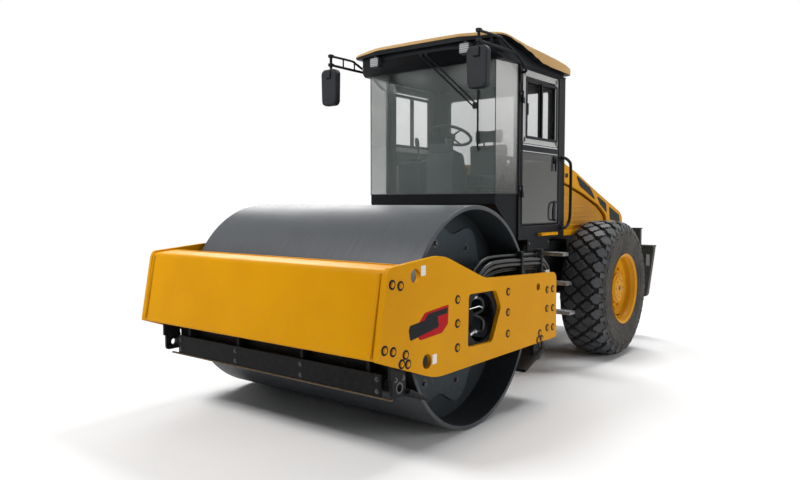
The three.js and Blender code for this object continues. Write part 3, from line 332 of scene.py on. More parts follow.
world = bpy.data.worlds.new("studio")
world.use_nodes = True
bpy.context.scene.world = world
sky = world.node_tree
sky.nodes.clear()
skyOut = sky.nodes.new("ShaderNodeOutputWorld")
skyMix = sky.nodes.new("ShaderNodeMixShader")
skyLight = sky.nodes.new("ShaderNodeBackground")
skyLight.inputs["Color"].default_value = (0.95, 0.97, 1, 1)
skyLight.inputs["Strength"].default_value = 0.12
skySeen = sky.nodes.new("ShaderNodeBackground")
skySeen.inputs["Color"].default_value = (1, 1, 1, 1)
rays = sky.nodes.new("ShaderNodeLightPath")
seen = rays.outputs[seenRays[0]]
for kind in seenRays[1:]:
    both = sky.nodes.new("ShaderNodeMath")
    sky.links.new(seen, both.inputs[0])
    sky.links.new(rays.outputs[kind], both.inputs[1])
    seen = both.outputs[0]
sky.links.new(seen, skyMix.inputs[0])
sky.links.new(skyLight.outputs[0], skyMix.inputs[1])
sky.links.new(skySeen.outputs[0], skyMix.inputs[2])
sky.links.new(skyMix.outputs[0], skyOut.inputs[0])

lamps = {
    "keyLight": {"from": (0.5, 4.6, 9.6), "size": (6.5, 2.0), "watts": 980},
    "sideLight": {"from": (9.0, 0.5, 2.6), "size": (6.0, 2.4), "watts": 265},
    "frontLight": {"from": (-3.0, -7.0, 7.6), "size": (3.0, 2.0), "watts": 690},
    "backLight": {"from": (-6.5, 5.5, 5.0), "size": (7.0, 2.0), "watts": 520},
}
aim = Vector((0, 0, 0.8))
for name, lamp in lamps.items():
    light = bpy.data.lights.new(name, "AREA")
    light.shape = "RECTANGLE"
    light.size, light.size_y = lamp["size"]
    light.energy = lamp["watts"]
    made = bpy.data.objects.new(name, light)
    made.location = lamp["from"]
    made.rotation_euler = (aim - Vector(lamp["from"])).to_track_quat("-Z", "Y").to_euler()
    bpy.context.scene.collection.objects.link(made)
print("floor, sky and lamps set")


def placed(axis, u, v, along):  # a point from its place in an outline and its place along the axis
    return {"x": (along, u, v), "y": (u, along, v), "z": (u, v, along)}[axis]


# a shape gathers closed solids; each face keeps the number of its finish
class Shape:
    cornerAngle = 0.6  # edges sharper than this are bevelled

    def __init__(self):
        self.bm = bmesh.new()
        self.finish = 0

    def keep(self, points, faces, bevel=0.0, steps=2):
        verts = [self.bm.verts.new(p) for p in points]
        made = [self.bm.faces.new([verts[i] for i in face]) for face in faces]
        bmesh.ops.recalc_face_normals(self.bm, faces=made)
        if bevel:
            edges = [e for face in made for e in face.edges if e.calc_face_angle(0) > self.cornerAngle]
            edges = list(dict.fromkeys(edges))
            known = set(self.bm.faces) - set(made)
            soft = {"offset": bevel, "segments": steps, "profile": 0.5, "clamp_overlap": True}
            bmesh.ops.bevel(self.bm, geom=edges, affect="EDGES", **soft)
            made = [face for face in self.bm.faces if face not in known]
        return self.paint(made)

    def paint(self, made):
        for face in made:
            face.material_index = self.finish
        return made

    def closed(self, made):
        bmesh.ops.recalc_face_normals(self.bm, faces=made)
        return self.paint(made)

    def box(self, low, high, bevel=0.0, steps=2):
        corners = [(x, y, z) for x in (low[0], high[0]) for y in (low[1], high[1]) for z in (low[2], high[2])]
        faces = [(0, 1, 3, 2), (4, 6, 7, 5), (0, 4, 5, 1), (2, 3, 7, 6), (0, 2, 6, 4), (1, 5, 7, 3)]
        return self.keep(corners, faces, bevel, steps)

    # an outline in the two other axes, in the order X, Y, Z, drawn out along one axis
    def prism(self, axis, outline, start, end, bevel=0.0, steps=2):
        points = [placed(axis, u, v, along) for along in (start, end) for u, v in outline]
        n = len(outline)
        faces = [tuple(range(n)), tuple(range(2 * n - 1, n - 1, -1))]
        faces += [(i, (i + 1) % n, n + (i + 1) % n, n + i) for i in range(n)]
        return self.keep(points, faces, bevel, steps)

    # a closed profile of (along, radius) turned about an axis through the centre
    def turned(self, axis, profile, centre, count=48):
        rings = []
        for along, radius in profile:
            ring = []
            for i in range(count if radius > 1e-6 else 1):  # a point on the axis is made once
                angle = 2 * math.pi * i / count
                u, v = radius * math.cos(angle), radius * math.sin(angle)
                place = placed(axis, *((v, u) if axis == "y" else (u, v)), along)
                ring.append(self.bm.verts.new(Vector(place) + Vector(centre)))
            rings.append(ring)
        made = []
        pairs = list(zip(rings, rings[1:]))
        if len(rings[0]) > 1:
            pairs.append((rings[-1], rings[0]))
        for near, far in pairs:
            if len(near) == 1 and len(far) == 1:
                continue
            for i in range(count):
                j = (i + 1) % count
                corners = [near[i % len(near)], near[j % len(near)], far[j % len(far)], far[i % len(far)]]
                corners = list(dict.fromkeys(corners))
                made.append(self.bm.faces.new(corners))
        return self.closed(made)

    def disc(self, axis, centre, radius, start, end, count=24, edge=0.0):
        profile = [(start, 0), (start, radius), (end, radius - edge), (end, 0)]
        if edge:
            step = math.copysign(edge, end - start)
            profile = [(start, 0), (start, radius), (end - step, radius), (end, radius - edge), (end, 0)]
        return self.turned(axis, profile, centre, count)

    # a round bar along a path, closed into a ring or with its two ends capped
    def tube(self, path, radius, count=12, closed=False):
        path = [Vector(p) for p in path]
        n = len(path)
        rings = []
        normal = None
        for i, p in enumerate(path):
            ahead = path[(i + 1) % n] if closed or i < n - 1 else p
            behind = path[i - 1] if closed or i > 0 else p
            along = (ahead - behind).normalized()
            if normal is None:
                normal = along.orthogonal().normalized()
            normal = (normal - along * normal.dot(along)).normalized()
            across = along.cross(normal)
            wide = radius[i] if isinstance(radius, (list, tuple)) else radius
            ring = []
            for k in range(count):
                angle = 2 * math.pi * k / count
                out = normal * math.cos(angle) + across * math.sin(angle)
                ring.append(self.bm.verts.new(p + out * wide))
            rings.append(ring)
        made = []
        pairs = list(zip(rings, rings[1:]))
        if closed:
            pairs.append((rings[-1], rings[0]))
        for near, far in pairs:
            for k in range(count):
                j = (k + 1) % count
                made.append(self.bm.faces.new((near[k], near[j], far[j], far[k])))
        if not closed:
            made.append(self.bm.faces.new(rings[0]))
            made.append(self.bm.faces.new(rings[-1]))
        return self.closed(made)

    def mirrored(self):  # a copy of all of it on the machine's other side
        everything = self.bm.faces[:] + self.bm.edges[:] + self.bm.verts[:]
        kept = bmesh.ops.duplicate(self.bm, geom=everything)["geom"]
        for vert in (g for g in kept if isinstance(g, bmesh.types.BMVert)):
            vert.co.x = -vert.co.x
        bmesh.ops.reverse_faces(self.bm, faces=[g for g in kept if isinstance(g, bmesh.types.BMFace)])

    def flipped(self):  # all of it moved over to the machine's other side
        for vert in self.bm.verts:
            vert.co.x = -vert.co.x
        bmesh.ops.reverse_faces(self.bm, faces=self.bm.faces[:])

    def moved(self, matrix):
        for vert in self.bm.verts:
            vert.co = matrix @ vert.co

    def mesh(self, name, angle=38):
        limit = math.radians(angle)
        for face in self.bm.faces:
            face.smooth = True
        for edge in self.bm.edges:
            edge.smooth = len(edge.link_faces) == 2 and edge.calc_face_angle(0) < limit
        mesh = bpy.data.meshes.new(name)
        self.bm.to_mesh(mesh)
        self.bm.free()
        return mesh

    def piece(self, name, body, finishes, replaces=(), angle=38, weighted=True):
        return settle(name, self.mesh(name, angle), body, finishes, replaces, weighted)


def settle(name, mesh, body, finishes, replaces=(), weighted=True):
    for finish in finishes:
        mesh.materials.append(finish)
    mesh.transform(Matrix.Translation((0, drumY, 0)))
    made = bpy.data.objects.new(name, mesh)
    bpy.context.scene.collection.objects.link(made)
    if weighted:
        made.modifiers.new("evenShade", "WEIGHTED_NORMAL").keep_sharp = True
    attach(made, body)
    if replaces:
        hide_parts(*replaces)
    return made


# an outline with its corners rounded: (u, v, radius) each
def rounded(points, steps=5):
    made = []
    n = len(points)
    for i, (u, v, radius) in enumerate(points):
        corner = Vector((u, v))
        if radius <= 0:
            made.append((u, v))
            continue
        back = (Vector(points[i - 1][:2]) - corner).normalized()
        front = (Vector(points[(i + 1) % n][:2]) - corner).normalized()
        half = back.angle(front) / 2
        reach = radius / math.tan(half)
        centre = corner + (back + front).normalized() * (radius / math.sin(half))
        first = corner + back * reach - centre
        last = corner + front * reach - centre
        turn = first.angle_signed(last)
        for k in range(steps + 1):
            made.append(tuple(centre + Matrix.Rotation(-turn * k / steps, 2) @ first))
    return made


# a smooth path through points
def smoothPath(points, steps):
    points = [Vector(p) for p in points]
    n = len(points)
    made = []
    for i in range(n - 1):
        a, b, c, d = (points[min(max(i + k, 0), n - 1)] for k in (-1, 0, 1, 2))
        second, third = 2 * a - 5 * b + 4 * c - d, 3 * b - a - 3 * c + d
        for k in range(steps):
            t = k / steps
            made.append(0.5 * (2 * b + (c - a) * t + second * t * t + third * t ** 3))
    return [*made, points[-1]]


# Geometry Nodes: a tree with named inputs; node() takes a type, its settings and its sockets
class Tree:
    def __init__(self, name, **inputs):
        self.group = bpy.data.node_groups.new(name, "GeometryNodeTree")
        face = self.group.interface
        face.new_socket("Geometry", in_out="INPUT", socket_type="NodeSocketGeometry")
        kinds = {int: "NodeSocketInt", float: "NodeSocketFloat"}
        for key, value in inputs.items():
            kind = "NodeSocketMaterial" if value is None else kinds[type(value)]
            made = face.new_socket(key, in_out="INPUT", socket_type=kind)
            if value is not None:
                made.default_value = value
        face.new_socket("Geometry", in_out="OUTPUT", socket_type="NodeSocketGeometry")
        self.source = self.group.nodes.new("NodeGroupInput")
        self.result = self.group.nodes.new("NodeGroupOutput")

    def node(self, kind, settings=None, sockets=None):
        made = self.group.nodes.new(kind)
        for key, value in (settings or {}).items():
            setattr(made, key, value)
        for key, value in (sockets or {}).items():
            if isinstance(value, bpy.types.NodeSocket):
                self.group.links.new(value, made.inputs[key])
            else:
                made.inputs[key].default_value = value
        return made

    def given(self, key):
        return self.source.outputs[key]

    def shifted(self, geometry, offset):
        sockets = {"Geometry": geometry, "Translation": offset.outputs[0]}
        return self.node("GeometryNodeTransform", sockets=sockets).outputs[0]

    def end(self, geometry):
        real = self.node("GeometryNodeRealizeInstances", sockets={"Geometry": geometry})
        sockets = {"Geometry": real.outputs[0], "Material": self.given("Finish")}
        painted = self.node("GeometryNodeSetMaterial", sockets=sockets)
        self.group.links.new(painted.outputs[0], self.result.inputs[0])

    # runs the tree on a mesh and hands back the plain mesh that it makes
    def run(self, mesh, **inputs):
        holder = bpy.data.objects.new("holder", mesh)
        bpy.context.scene.collection.objects.link(holder)
        modifier = holder.modifiers.new("nodes", "NODES")
        modifier.node_group = self.group
        for item in self.group.interface.items_tree:
            if item.item_type == "SOCKET" and item.in_out == "INPUT" and item.name in inputs:
                modifier[item.identifier] = inputs[item.name]
        bpy.context.view_layer.update()
        seen = holder.evaluated_get(bpy.context.evaluated_depsgraph_get())
        made = bpy.data.meshes.new_from_object(seen)
        holder.modifiers.remove(modifier)
        bpy.data.objects.remove(holder)
        return made


# smooth shading on the machine's own parts, sharp where two faces meet at more than an angle
def softShadeTree():
    t = Tree("softShade", Angle=0.6)
    sockets = {"Geometry": t.given("Geometry"), "Shade Smooth": True}
    faces = t.node("GeometryNodeSetShadeSmooth", {"domain": "FACE"}, sockets)
    angle = t.node("GeometryNodeInputMeshEdgeAngle")
    sharp = t.node("FunctionNodeCompare", {"data_type": "FLOAT", "operation": "GREATER_THAN"})
    t.group.links.new(angle.outputs[0], sharp.inputs[0])
    t.group.links.new(t.given("Angle"), sharp.inputs[1])
    sockets = {"Geometry": faces.outputs[0], "Selection": sharp.outputs[0], "Shade Smooth": False}
    edges = t.node("GeometryNodeSetShadeSmooth", {"domain": "EDGE"}, sockets)
    t.group.links.new(edges.outputs[0], t.result.inputs[0])
    return t.group


softShade = softShadeTree()
dressMake = {"weld": 1e-5, "flatDegrees": 0.6, "edgeAngle": 0.6, "edgeSteps": 2}


# a finish on one of the machine's own parts, its flat faces cleaned and its edges broken
def dress(name, finish, edge):
    part = nodes[name]
    part.data.materials.clear()
    part.data.materials.append(finish)
    weld = part.modifiers.new("weld", "WELD")
    weld.merge_threshold = dressMake["weld"]
    flat = part.modifiers.new("flat", "DECIMATE")
    flat.decimate_type = "DISSOLVE"
    flat.angle_limit = math.radians(dressMake["flatDegrees"])
    if edge:
        bevel = part.modifiers.new("edge", "BEVEL")
        bevel.width = edge
        bevel.segments = dressMake["edgeSteps"]
        bevel.limit_method = "ANGLE"
        bevel.angle_limit = dressMake["edgeAngle"]
        bevel.use_clamp_overlap = True
    shade = part.modifiers.new("shade", "NODES")
    shade.node_group = softShade
    part.modifiers.new("evenShade", "WEIGHTED_NORMAL").keep_sharp = True


dressed = [
    (yellowPaint, 0.010, ["front_beam"]),
    (yellowPaint, 0.008, ["hood"]),
    (yellowPaint, 0.005, ["rear_beam"]),
    (yellowPaint, 0.003, ["engine_deck", "side_plate_left", "side_plate_right"]),
    (deepYellow, 0.002, ["side_panel_left", "side_panel_right"]),
    (weightPaint, 0.006, ["counterweight"]),
    (blackPaint, 0.006, ["fuel_tank", "hydraulic_tank"]),
    (blackPaint, 0.004, ["centre_joint", "rear_axle", "seat_base"]),
    (blackPaint, 0.003, ["drum_carrier_left", "drum_carrier_right", "rear_frame"]),
    (blackPaint, 0.003, ["front_scraper", "rear_scraper"]),
    (blackPaint, 0.002, ["steering_cylinder_left", "steering_cylinder_right"]),
    (slatePaint, 0.008, ["engine"]),
    (cabBlack, 0.003, ["cab_floor", "cab_side_left", "cab_side_right", "cab_rear_wall"]),
    (cabBlack, 0.003, ["door_left", "door_right"]),
    (cabBlack, 0.004, ["roof_liner"]),
    (sideGlass, 0, ["door_glass_left", "door_glass_right"]),
    (cornerGlass, 0, ["corner_glass_left", "corner_glass_right"]),
    (rearGlass, 0, ["rear_window"]),
    (frontGlass, 0, ["windscreen"]),
    (trimPlastic, 0.010, ["console"]),
    (trimPlastic, 0.012, ["side_console"]),
    (chrome, 0.001, ["steering_rod_left", "steering_rod_right"]),
]
for finish, edge, names in dressed:
    for name in names:
        dress(name, finish, edge)
print("frame dressed")


# repeats turned round an axle: the mesh given is one pitch, already in place
def aroundTree():
    t = Tree("aroundAxle", Count=12, CentreX=0.0, CentreY=0.0, CentreZ=0.0, Finish=None)
    sockets = {"Count": t.given("Count"), "Offset": (0, 0, 0)}
    line = t.node("GeometryNodeMeshLine", {"mode": "OFFSET"}, sockets)
    centre = t.node("ShaderNodeCombineXYZ", sockets={i: t.given("Centre" + a) for i, a in enumerate("XYZ")})
    index = t.node("GeometryNodeInputIndex")
    step = t.node("ShaderNodeMath", {"operation": "DIVIDE"}, {0: 2 * math.pi, 1: t.given("Count")})
    angle = t.node("ShaderNodeMath", {"operation": "MULTIPLY"}, {0: index.outputs[0], 1: step.outputs[0]})
    turn = t.node("ShaderNodeCombineXYZ", sockets={0: angle.outputs[0]})
    back = t.node("ShaderNodeVectorMath", {"operation": "SCALE"}, {0: centre.outputs[0], "Scale": -1.0})
    base = t.shifted(t.given("Geometry"), back)
    sockets = {"Points": line.outputs[0], "Instance": base, "Rotation": turn.outputs[0]}
    copies = t.node("GeometryNodeInstanceOnPoints", sockets=sockets)
    t.end(t.shifted(copies.outputs[0], centre))
    return t


# bolts on points: a washer and a hex head on each point, their axis along the point's normal
def boltTree():
    t = Tree("bolts", Radius=0.012, Height=0.010, Washer=0.018, Finish=None)
    sockets = {"Vertices": 6, "Radius": t.given("Radius"), "Depth": t.given("Height")}
    head = t.node("GeometryNodeMeshCylinder", sockets=sockets)
    sockets = {"Vertices": 16, "Radius": t.given("Washer"), "Depth": 0.004}
    ring = t.node("GeometryNodeMeshCylinder", sockets=sockets)
    half = t.node("ShaderNodeMath", {"operation": "MULTIPLY"}, {0: t.given("Height"), 1: 0.5})
    lift = t.node("ShaderNodeCombineXYZ", sockets={2: half.outputs[0]})
    both = t.node("GeometryNodeJoinGeometry")
    t.group.links.new(t.shifted(head.outputs[0], lift), both.inputs[0])
    t.group.links.new(ring.outputs[0], both.inputs[0])
    normal = t.node("GeometryNodeInputNormal")
    align = t.node("FunctionNodeAlignRotationToVector", {"axis": "Z"}, {"Vector": normal.outputs[0]})
    keep = t.node("GeometryNodeCaptureAttribute", {"domain": "FACE"}, {"Geometry": t.given("Geometry")})
    keep.capture_items.new("ROTATION", "turn")
    t.group.links.new(align.outputs[0], keep.inputs["turn"])
    points = t.node("GeometryNodeMeshToPoints", {"mode": "FACES"}, {"Mesh": keep.outputs[0]})
    sockets = {"Points": points.outputs[0], "Instance": both.outputs[0], "Rotation": keep.outputs["turn"]}
    t.end(t.node("GeometryNodeInstanceOnPoints", sockets=sockets).outputs[0])
    return t


# repeats along a line: the mesh given is the first of them
def rowTree():
    t = Tree("row", Count=4, StepX=0.0, StepY=0.0, StepZ=0.0, Finish=None)
    step = t.node("ShaderNodeCombineXYZ", sockets={i: t.given("Step" + a) for i, a in enumerate("XYZ")})
    sockets = {"Count": t.given("Count"), "Offset": step.outputs[0]}
    line = t.node("GeometryNodeMeshLine", {"mode": "OFFSET"}, sockets)
    sockets = {"Points": line.outputs[0], "Instance": t.given("Geometry")}
    t.end(t.node("GeometryNodeInstanceOnPoints", sockets=sockets).outputs[0])
    return t


around = aroundTree()
bolts = boltTree()
row = rowTree()


def rowMesh(mesh, finish, count, step):
    return row.run(mesh, Count=count, StepX=step[0], StepY=step[1], StepZ=step[2], Finish=finish)


# places are (point, axis) pairs; each becomes a tiny face that carries the bolt's direction
def boltPiece(name, places, body, finish, radius=0.012, height=0.010, washer=0.018):
    points, faces = [], []
    for point, axis in places:
        point, axis = Vector(point), Vector(axis).normalized()
        side = axis.orthogonal().normalized() * 1e-3
        over = axis.cross(side)
        faces.append(tuple(range(len(points), len(points) + 3)))
        points += [point + side, point - side * 0.5 + over * 0.87, point - side * 0.5 - over * 0.87]
    mesh = bpy.data.meshes.new(name)
    mesh.from_pydata(points, [], faces)
    made = bolts.run(mesh, Radius=radius, Height=height, Washer=washer, Finish=finish)
    return settle(name, made, body, [], weighted=False)


def circled(centre, x, radius, count, turn=0.0):  # points round an axle, at one place along it
    angles = [2 * math.pi * (i + turn) / count for i in range(count)]
    return [centre + Vector((x, radius * math.cos(a), radius * math.sin(a))) for a in angles]


# the drum: shell, end webs and hubs in one ring
drumMake = {"radius": 0.75, "half": 1.055, "wall": 0.028, "webOut": 0.80, "web": 0.025}
drumMake.update(boss=0.12, bossOut=0.82, shaft=0.0506, lip=0.004, count=192)
drumMake.update(lobeRing=0.605, lobe=0.052, boltRing=0.51, bolts=8, first=0.26)


def makeDrum():
    d = drumMake
    inner = d["radius"] - d["wall"]
    centre = Vector((0, 0, d["radius"]))
    outline = [
        (d["half"] - d["lip"], d["radius"]),
        (d["half"], d["radius"] - d["lip"]),
        (d["half"], inner + 0.003),
        (d["half"] - 0.003, inner),
        (d["webOut"] + 0.008, inner),
        (d["webOut"], inner - 0.008),
        (d["webOut"], d["boss"] + 0.01),
        (d["webOut"] + 0.01, d["boss"]),
        (d["bossOut"] - 0.003, d["boss"]),
        (d["bossOut"], d["boss"] - 0.003),
        (d["bossOut"], d["shaft"]),
        (d["webOut"] - d["web"], d["shaft"]),
        (d["webOut"] - d["web"], inner),
    ]
    ring = outline + [(-x, r) for x, r in reversed(outline)]
    shape = Shape()
    faces = shape.turned("x", ring, centre, d["count"])
    for face in faces:
        middle = face.calc_center_median() - centre
        radius = math.hypot(middle.y, middle.z)
        face.material_index = 0 if radius > inner + 0.001 else 1
    shape.finish = 2
    places = []
    for side in (1, -1):  # a lobed plate on each web, a bolt in each lobe
        lobed = []
        for i in range(128):
            angle = 2 * math.pi * i / 128
            reach = d["lobeRing"] + d["lobe"] * math.cos(d["bolts"] * (angle - d["first"]))
            lobed.append((reach * math.cos(angle), reach * math.sin(angle) + d["radius"]))
        shape.prism("x", lobed, side * (d["webOut"] - 0.002), side * (d["webOut"] + 0.014))
        turn = d["first"] * d["bolts"] / (2 * math.pi)
        heads = circled(centre, side * (d["webOut"] + 0.014), d["boltRing"], d["bolts"], turn)
        places += [(p, (side, 0, 0)) for p in heads]
    shape.piece("drumShell", "drum", [drumSteel, innerPaint, slatePaint], ["drum"])
    boltPiece("drumBolts", places, "drum", boltSteel, 0.017, 0.016, 0.030)


makeDrum()
print("drum made")

# tyres: a smooth carcass with the tread's blocks set on it
tyreMake = {"radius": 0.67, "width": 0.445, "centreX": 0.868, "bead": 0.3185, "groove": 0.026, "count": 27}
tyreMake.update(axleY=2.78, tight=0.0012, grooveFloor=0.585, rows=2, rowStep=0.0845)
# half section from the crown outwards: distance from the middle, radius
tyreSection = [(0, 0.6695), (0.09, 0.668), (0.1425, 0.660), (0.178, 0.645), (0.202, 0.618), (0.2145, 0.575)]
tyreSection += [(0.2215, 0.52), (0.2222, 0.48), (0.2175, 0.42)]
tyreSection += [(0.209, 0.375), (0.202, 0.352), (0.195, 0.330)]


def crown(across):  # radius of the tread's surface at a distance from the middle
    across = abs(across)
    for (a, ra), (b, rb) in zip(tyreSection, tyreSection[1:]):
        if across <= b:
            t = (across - a) / (b - a)
            return ra + (rb - ra) * t
    return tyreSection[5][1]


# a tread block: its outline in the plane, lifted on to the crown, its top drawn in
def treadBlock(shape, outline, centreX, axle):
    middle = Vector((sum(u for u, v in outline), sum(v for u, v in outline))) / len(outline)
    rings = []
    for inset, depth in ((1.10, -0.004), (1.0, 0.35), (0.97, 0.9), (0.91, 1.0)):
        ring = []
        for u, v in outline:
            flat = middle + (Vector((u, v)) - middle) * inset
            reach = crown(flat.x) - tyreMake["groove"] * (1 - depth) - tyreMake["tight"]
            angle = flat.y / tyreMake["radius"]
            place = Vector((centreX + flat.x, reach * math.sin(angle), reach * math.cos(angle))) + axle
            ring.append(shape.bm.verts.new(place))
        rings.append(ring)
    n = len(outline)
    faces = [shape.bm.faces.new(rings[-1])]
    for near, far in zip(rings, rings[1:]):
        for i in range(n):
            j = (i + 1) % n
            faces.append(shape.bm.faces.new((near[i], near[j], far[j], far[i])))
    bmesh.ops.recalc_face_normals(shape.bm, faces=faces)
    if faces[0].normal.dot(faces[0].calc_center_median() - axle - Vector((centreX, 0, 0))) < 0:
        bmesh.ops.reverse_faces(shape.bm, faces=faces)


def makeTyre(name, side):
    t = tyreMake
    axle = Vector((0, t["axleY"], t["radius"]))
    x = side * t["centreX"]
    half = []
    for i, (across, reach) in enumerate(tyreSection):  # the carcass lies a groove's depth under the tread
        sink = t["groove"] if i < 4 else t["groove"] * (0.75 if i == 4 else 0.2 if i == 5 else 0)
        half.append((across, reach - sink))
    beads = [(0.200, 0.3225), (0.192, t["bead"] + 0.0008), (0.150, t["bead"] + 0.0008)]
    smooth = [(p.x, p.y) for p in smoothPath([(u, v, 0) for u, v in half], 3)]
    ring = smooth + beads
    ring += [(-u, v) for u, v in reversed(ring[1:])]
    carcass = Shape()
    carcass.turned("x", [(x + u, v) for u, v in ring], axle, 136)
    for bandX, bandR in ((0.2185, 0.545), (0.2195, 0.440), (0.2135, 0.395)):  # raised rings on the sidewalls
        for way in (1, -1):
            low, high = x + way * (bandX - 0.004), x + way * (bandX + 0.0022)
            band = [(low, bandR - 0.007), (high, bandR - 0.003), (high, bandR + 0.003), (low, bandR + 0.007)]
            carcass.turned("x", band, axle, 136)
    pitch = 2 * math.pi * t["radius"] / t["count"]
    tread = Shape()
    for line in range(-t["rows"], t["rows"] + 1):
        shift = 0.5 * pitch if line % 2 else 0.0
        wide, long = 0.066 if abs(line) < 2 else 0.060, pitch * 0.39
        u0, v0 = line * t["rowStep"], shift
        # a square stood on its corner, its corners cut and its sides bent in a little
        outline = []
        for k in range(4):
            a = math.pi / 2 * k
            b = a + math.pi / 2
            pa = Vector((math.cos(a) * wide, math.sin(a) * long))
            pb = Vector((math.cos(b) * wide, math.sin(b) * long))
            along, out = pb - pa, pa + pb
            outline += [pa + along * 0.14, pa + along * 0.46 - out * 0.055]
            outline += [pa + along * 0.56 + out * 0.05, pa + along * 0.86]
        outline = [(u0 + p.x, v0 + p.y) for p in outline]
        treadBlock(tread, outline, x, axle)
    for way in (1, -1):  # shoulder lugs that run down on to the sidewall
        lug = [(0.190, -0.030), (0.2125, -0.022), (0.2125, 0.022), (0.190, 0.030)]
        treadBlock(tread, [(way * u, v + pitch / 2) for u, v in lug], x, axle)
    centre = {"CentreX": 0.0, "CentreY": axle.y, "CentreZ": axle.z}
    blocks = around.run(tread.mesh("pitch"), Count=t["count"], Finish=tyreRubber, **centre)
    whole = Shape()
    whole.bm.from_mesh(carcass.mesh("carcass"))
    for face in whole.bm.faces:  # the floor of the grooves is painted darker than the blocks and the sidewall, as painted shade
        middle = face.calc_center_median() - axle
        face.material_index = 1 if math.hypot(middle.y, middle.z) > t["grooveFloor"] else 2
    known = set(whole.bm.faces)
    whole.bm.from_mesh(blocks)
    for face in set(whole.bm.faces) - known:
        face.material_index = 0
    finishes = [tyreRubber, grooveShadeRubber, sidewallRubber]
    whole.piece(f"tyre{name.title()}", f"wheel_{name}", finishes, [f"tyre_{name}"], 34)


for name, side in sides:
    makeTyre(name, side)
print("tyres made")

# rims: one turned body with its hub, then nuts, hub bolts and a valve
rimMake = {"outer": 1.0715, "inner": 0.6645, "seatR": 0.3175, "flange": 0.346, "wall": 0.016}
rimMake.update(disc=0.945, discBack=0.967, hub=0.150, cap=1.0245)
rimMake.update(nutRing=0.205, nuts=12, capRing=0.088, capNuts=8)


def makeRim(name, side):
    r = rimMake
    axle = Vector((0, tyreMake["axleY"], tyreMake["radius"]))
    barrel = r["seatR"] - r["wall"]
    half = tyreMake["width"] / 2
    outerBead, innerBead = tyreMake["centreX"] + half - 0.027, tyreMake["centreX"] - half + 0.027
    outer, face, cap, disc, flange = r["outer"], r["discBack"], r["cap"], r["disc"], r["flange"]
    ring = [
        (disc + 0.005, 0), (disc + 0.005, 0.0508), (0.825, 0.0508), (0.825, 0.120), (disc - 0.06, 0.150),
        (disc, 0.155), (disc, barrel), (r["inner"], barrel), (r["inner"], flange - 0.004),
        (r["inner"] + 0.003, flange), (innerBead - 0.016, flange), (innerBead - 0.002, r["seatR"]),
        (outerBead + 0.002, r["seatR"]), (outerBead + 0.016, flange),
        (outer - 0.003, flange), (outer, flange - 0.004), (outer, flange - 0.012),
        (outer - 0.010, barrel + 0.018), (outer - 0.020, barrel + 0.012), (outer - 0.046, barrel + 0.002),
        (outer - 0.052, barrel), (face + 0.030, barrel), (face + 0.010, barrel - 0.008),
        (face, barrel - 0.030), (face, 0.246), (face - 0.008, 0.236), (face - 0.008, 0.176), (face, 0.166),
        (face, r["hub"] + 0.006), (face + 0.006, r["hub"]), (1.004, r["hub"]), (1.008, r["hub"] - 0.003),
        (1.008, 0.128), (1.0105, 0.1255), (cap - 0.006, 0.120), (cap - 0.002, 0.112), (cap - 0.002, 0.040),
        (cap, 0.036), (cap, 0),
    ]  # it starts and ends on the axle
    shape = Shape()
    shape.turned("x", [(side * x, radius) for x, radius in ring], axle, 96)
    shape.finish = 1
    low, high = side * (cap - 0.001), side * (cap + 0.004)
    shape.turned("x", [(low, 0.0), (low, 0.026), (high, 0.022), (high, 0.0)], axle, 6)
    valve = [(-0.004, -0.268), (0.030, -0.270), (0.062, -0.262)]
    shape.tube([axle + Vector((side * (face + out), 0, up)) for out, up in valve], 0.005, 10)
    shape.finish = 0
    for place in circled(axle, side * 1.009, 0.129, 6, 0.5):  # webs between the hub and its cover
        shape.disc("x", place, 0.010, -side * 0.002, side * 0.006, 12, 0.002)
    body, facing = f"wheel_{name}", (side, 0, 0)
    shape.piece(f"rim{name.title()}", body, [deepYellow, boltSteel], [f"rim_{name}"], 34)
    nuts = [(p, facing) for p in circled(axle, side * (face - 0.008), r["nutRing"], r["nuts"])]
    boltPiece(f"wheelNuts{name.title()}", nuts, body, deepYellow, 0.014, 0.022, 0.021)
    caps = [(p, facing) for p in circled(axle, side * (cap - 0.002), r["capRing"], r["capNuts"])]
    boltPiece(f"hubBolts{name.title()}", caps, body, deepYellow, 0.008, 0.006, 0.011)


for name, side in sides:
    makeRim(name, side)
print("rims made")


# side plates: bolts in dark rings that are painted shade, two blank tags, a plain red and black band
plateMake = {"x": 1.130, "ring": 0.029, "head": 0.0125}
plateBolts = [(-0.337, z) for z in (0.912, 0.761, 0.608)] + [(0.312, z) for z in (0.895, 0.750, 0.599)]
plateBolts += [(-0.998, 1.066), (-0.923, 1.053), (-1.065, 0.712), (-0.990, 0.692), (-0.875, 0.656)]
plateBolts += [(-0.912, 0.610), (-0.853, 0.599), (0.929, 0.848), (1.024, 0.845), (0.927, 0.702)]
plateBolts += [(1.028, 0.696), (0.936, 0.552), (1.032, 0.544), (0.81, 0.528), (0.783, 0.479), (0.843, 0.479)]


def onBothSides(x, places):  # bolts that face outwards, x from the middle
    return [((s * x, y, z), (s, 0, 0)) for s in (1, -1) for y, z in places]


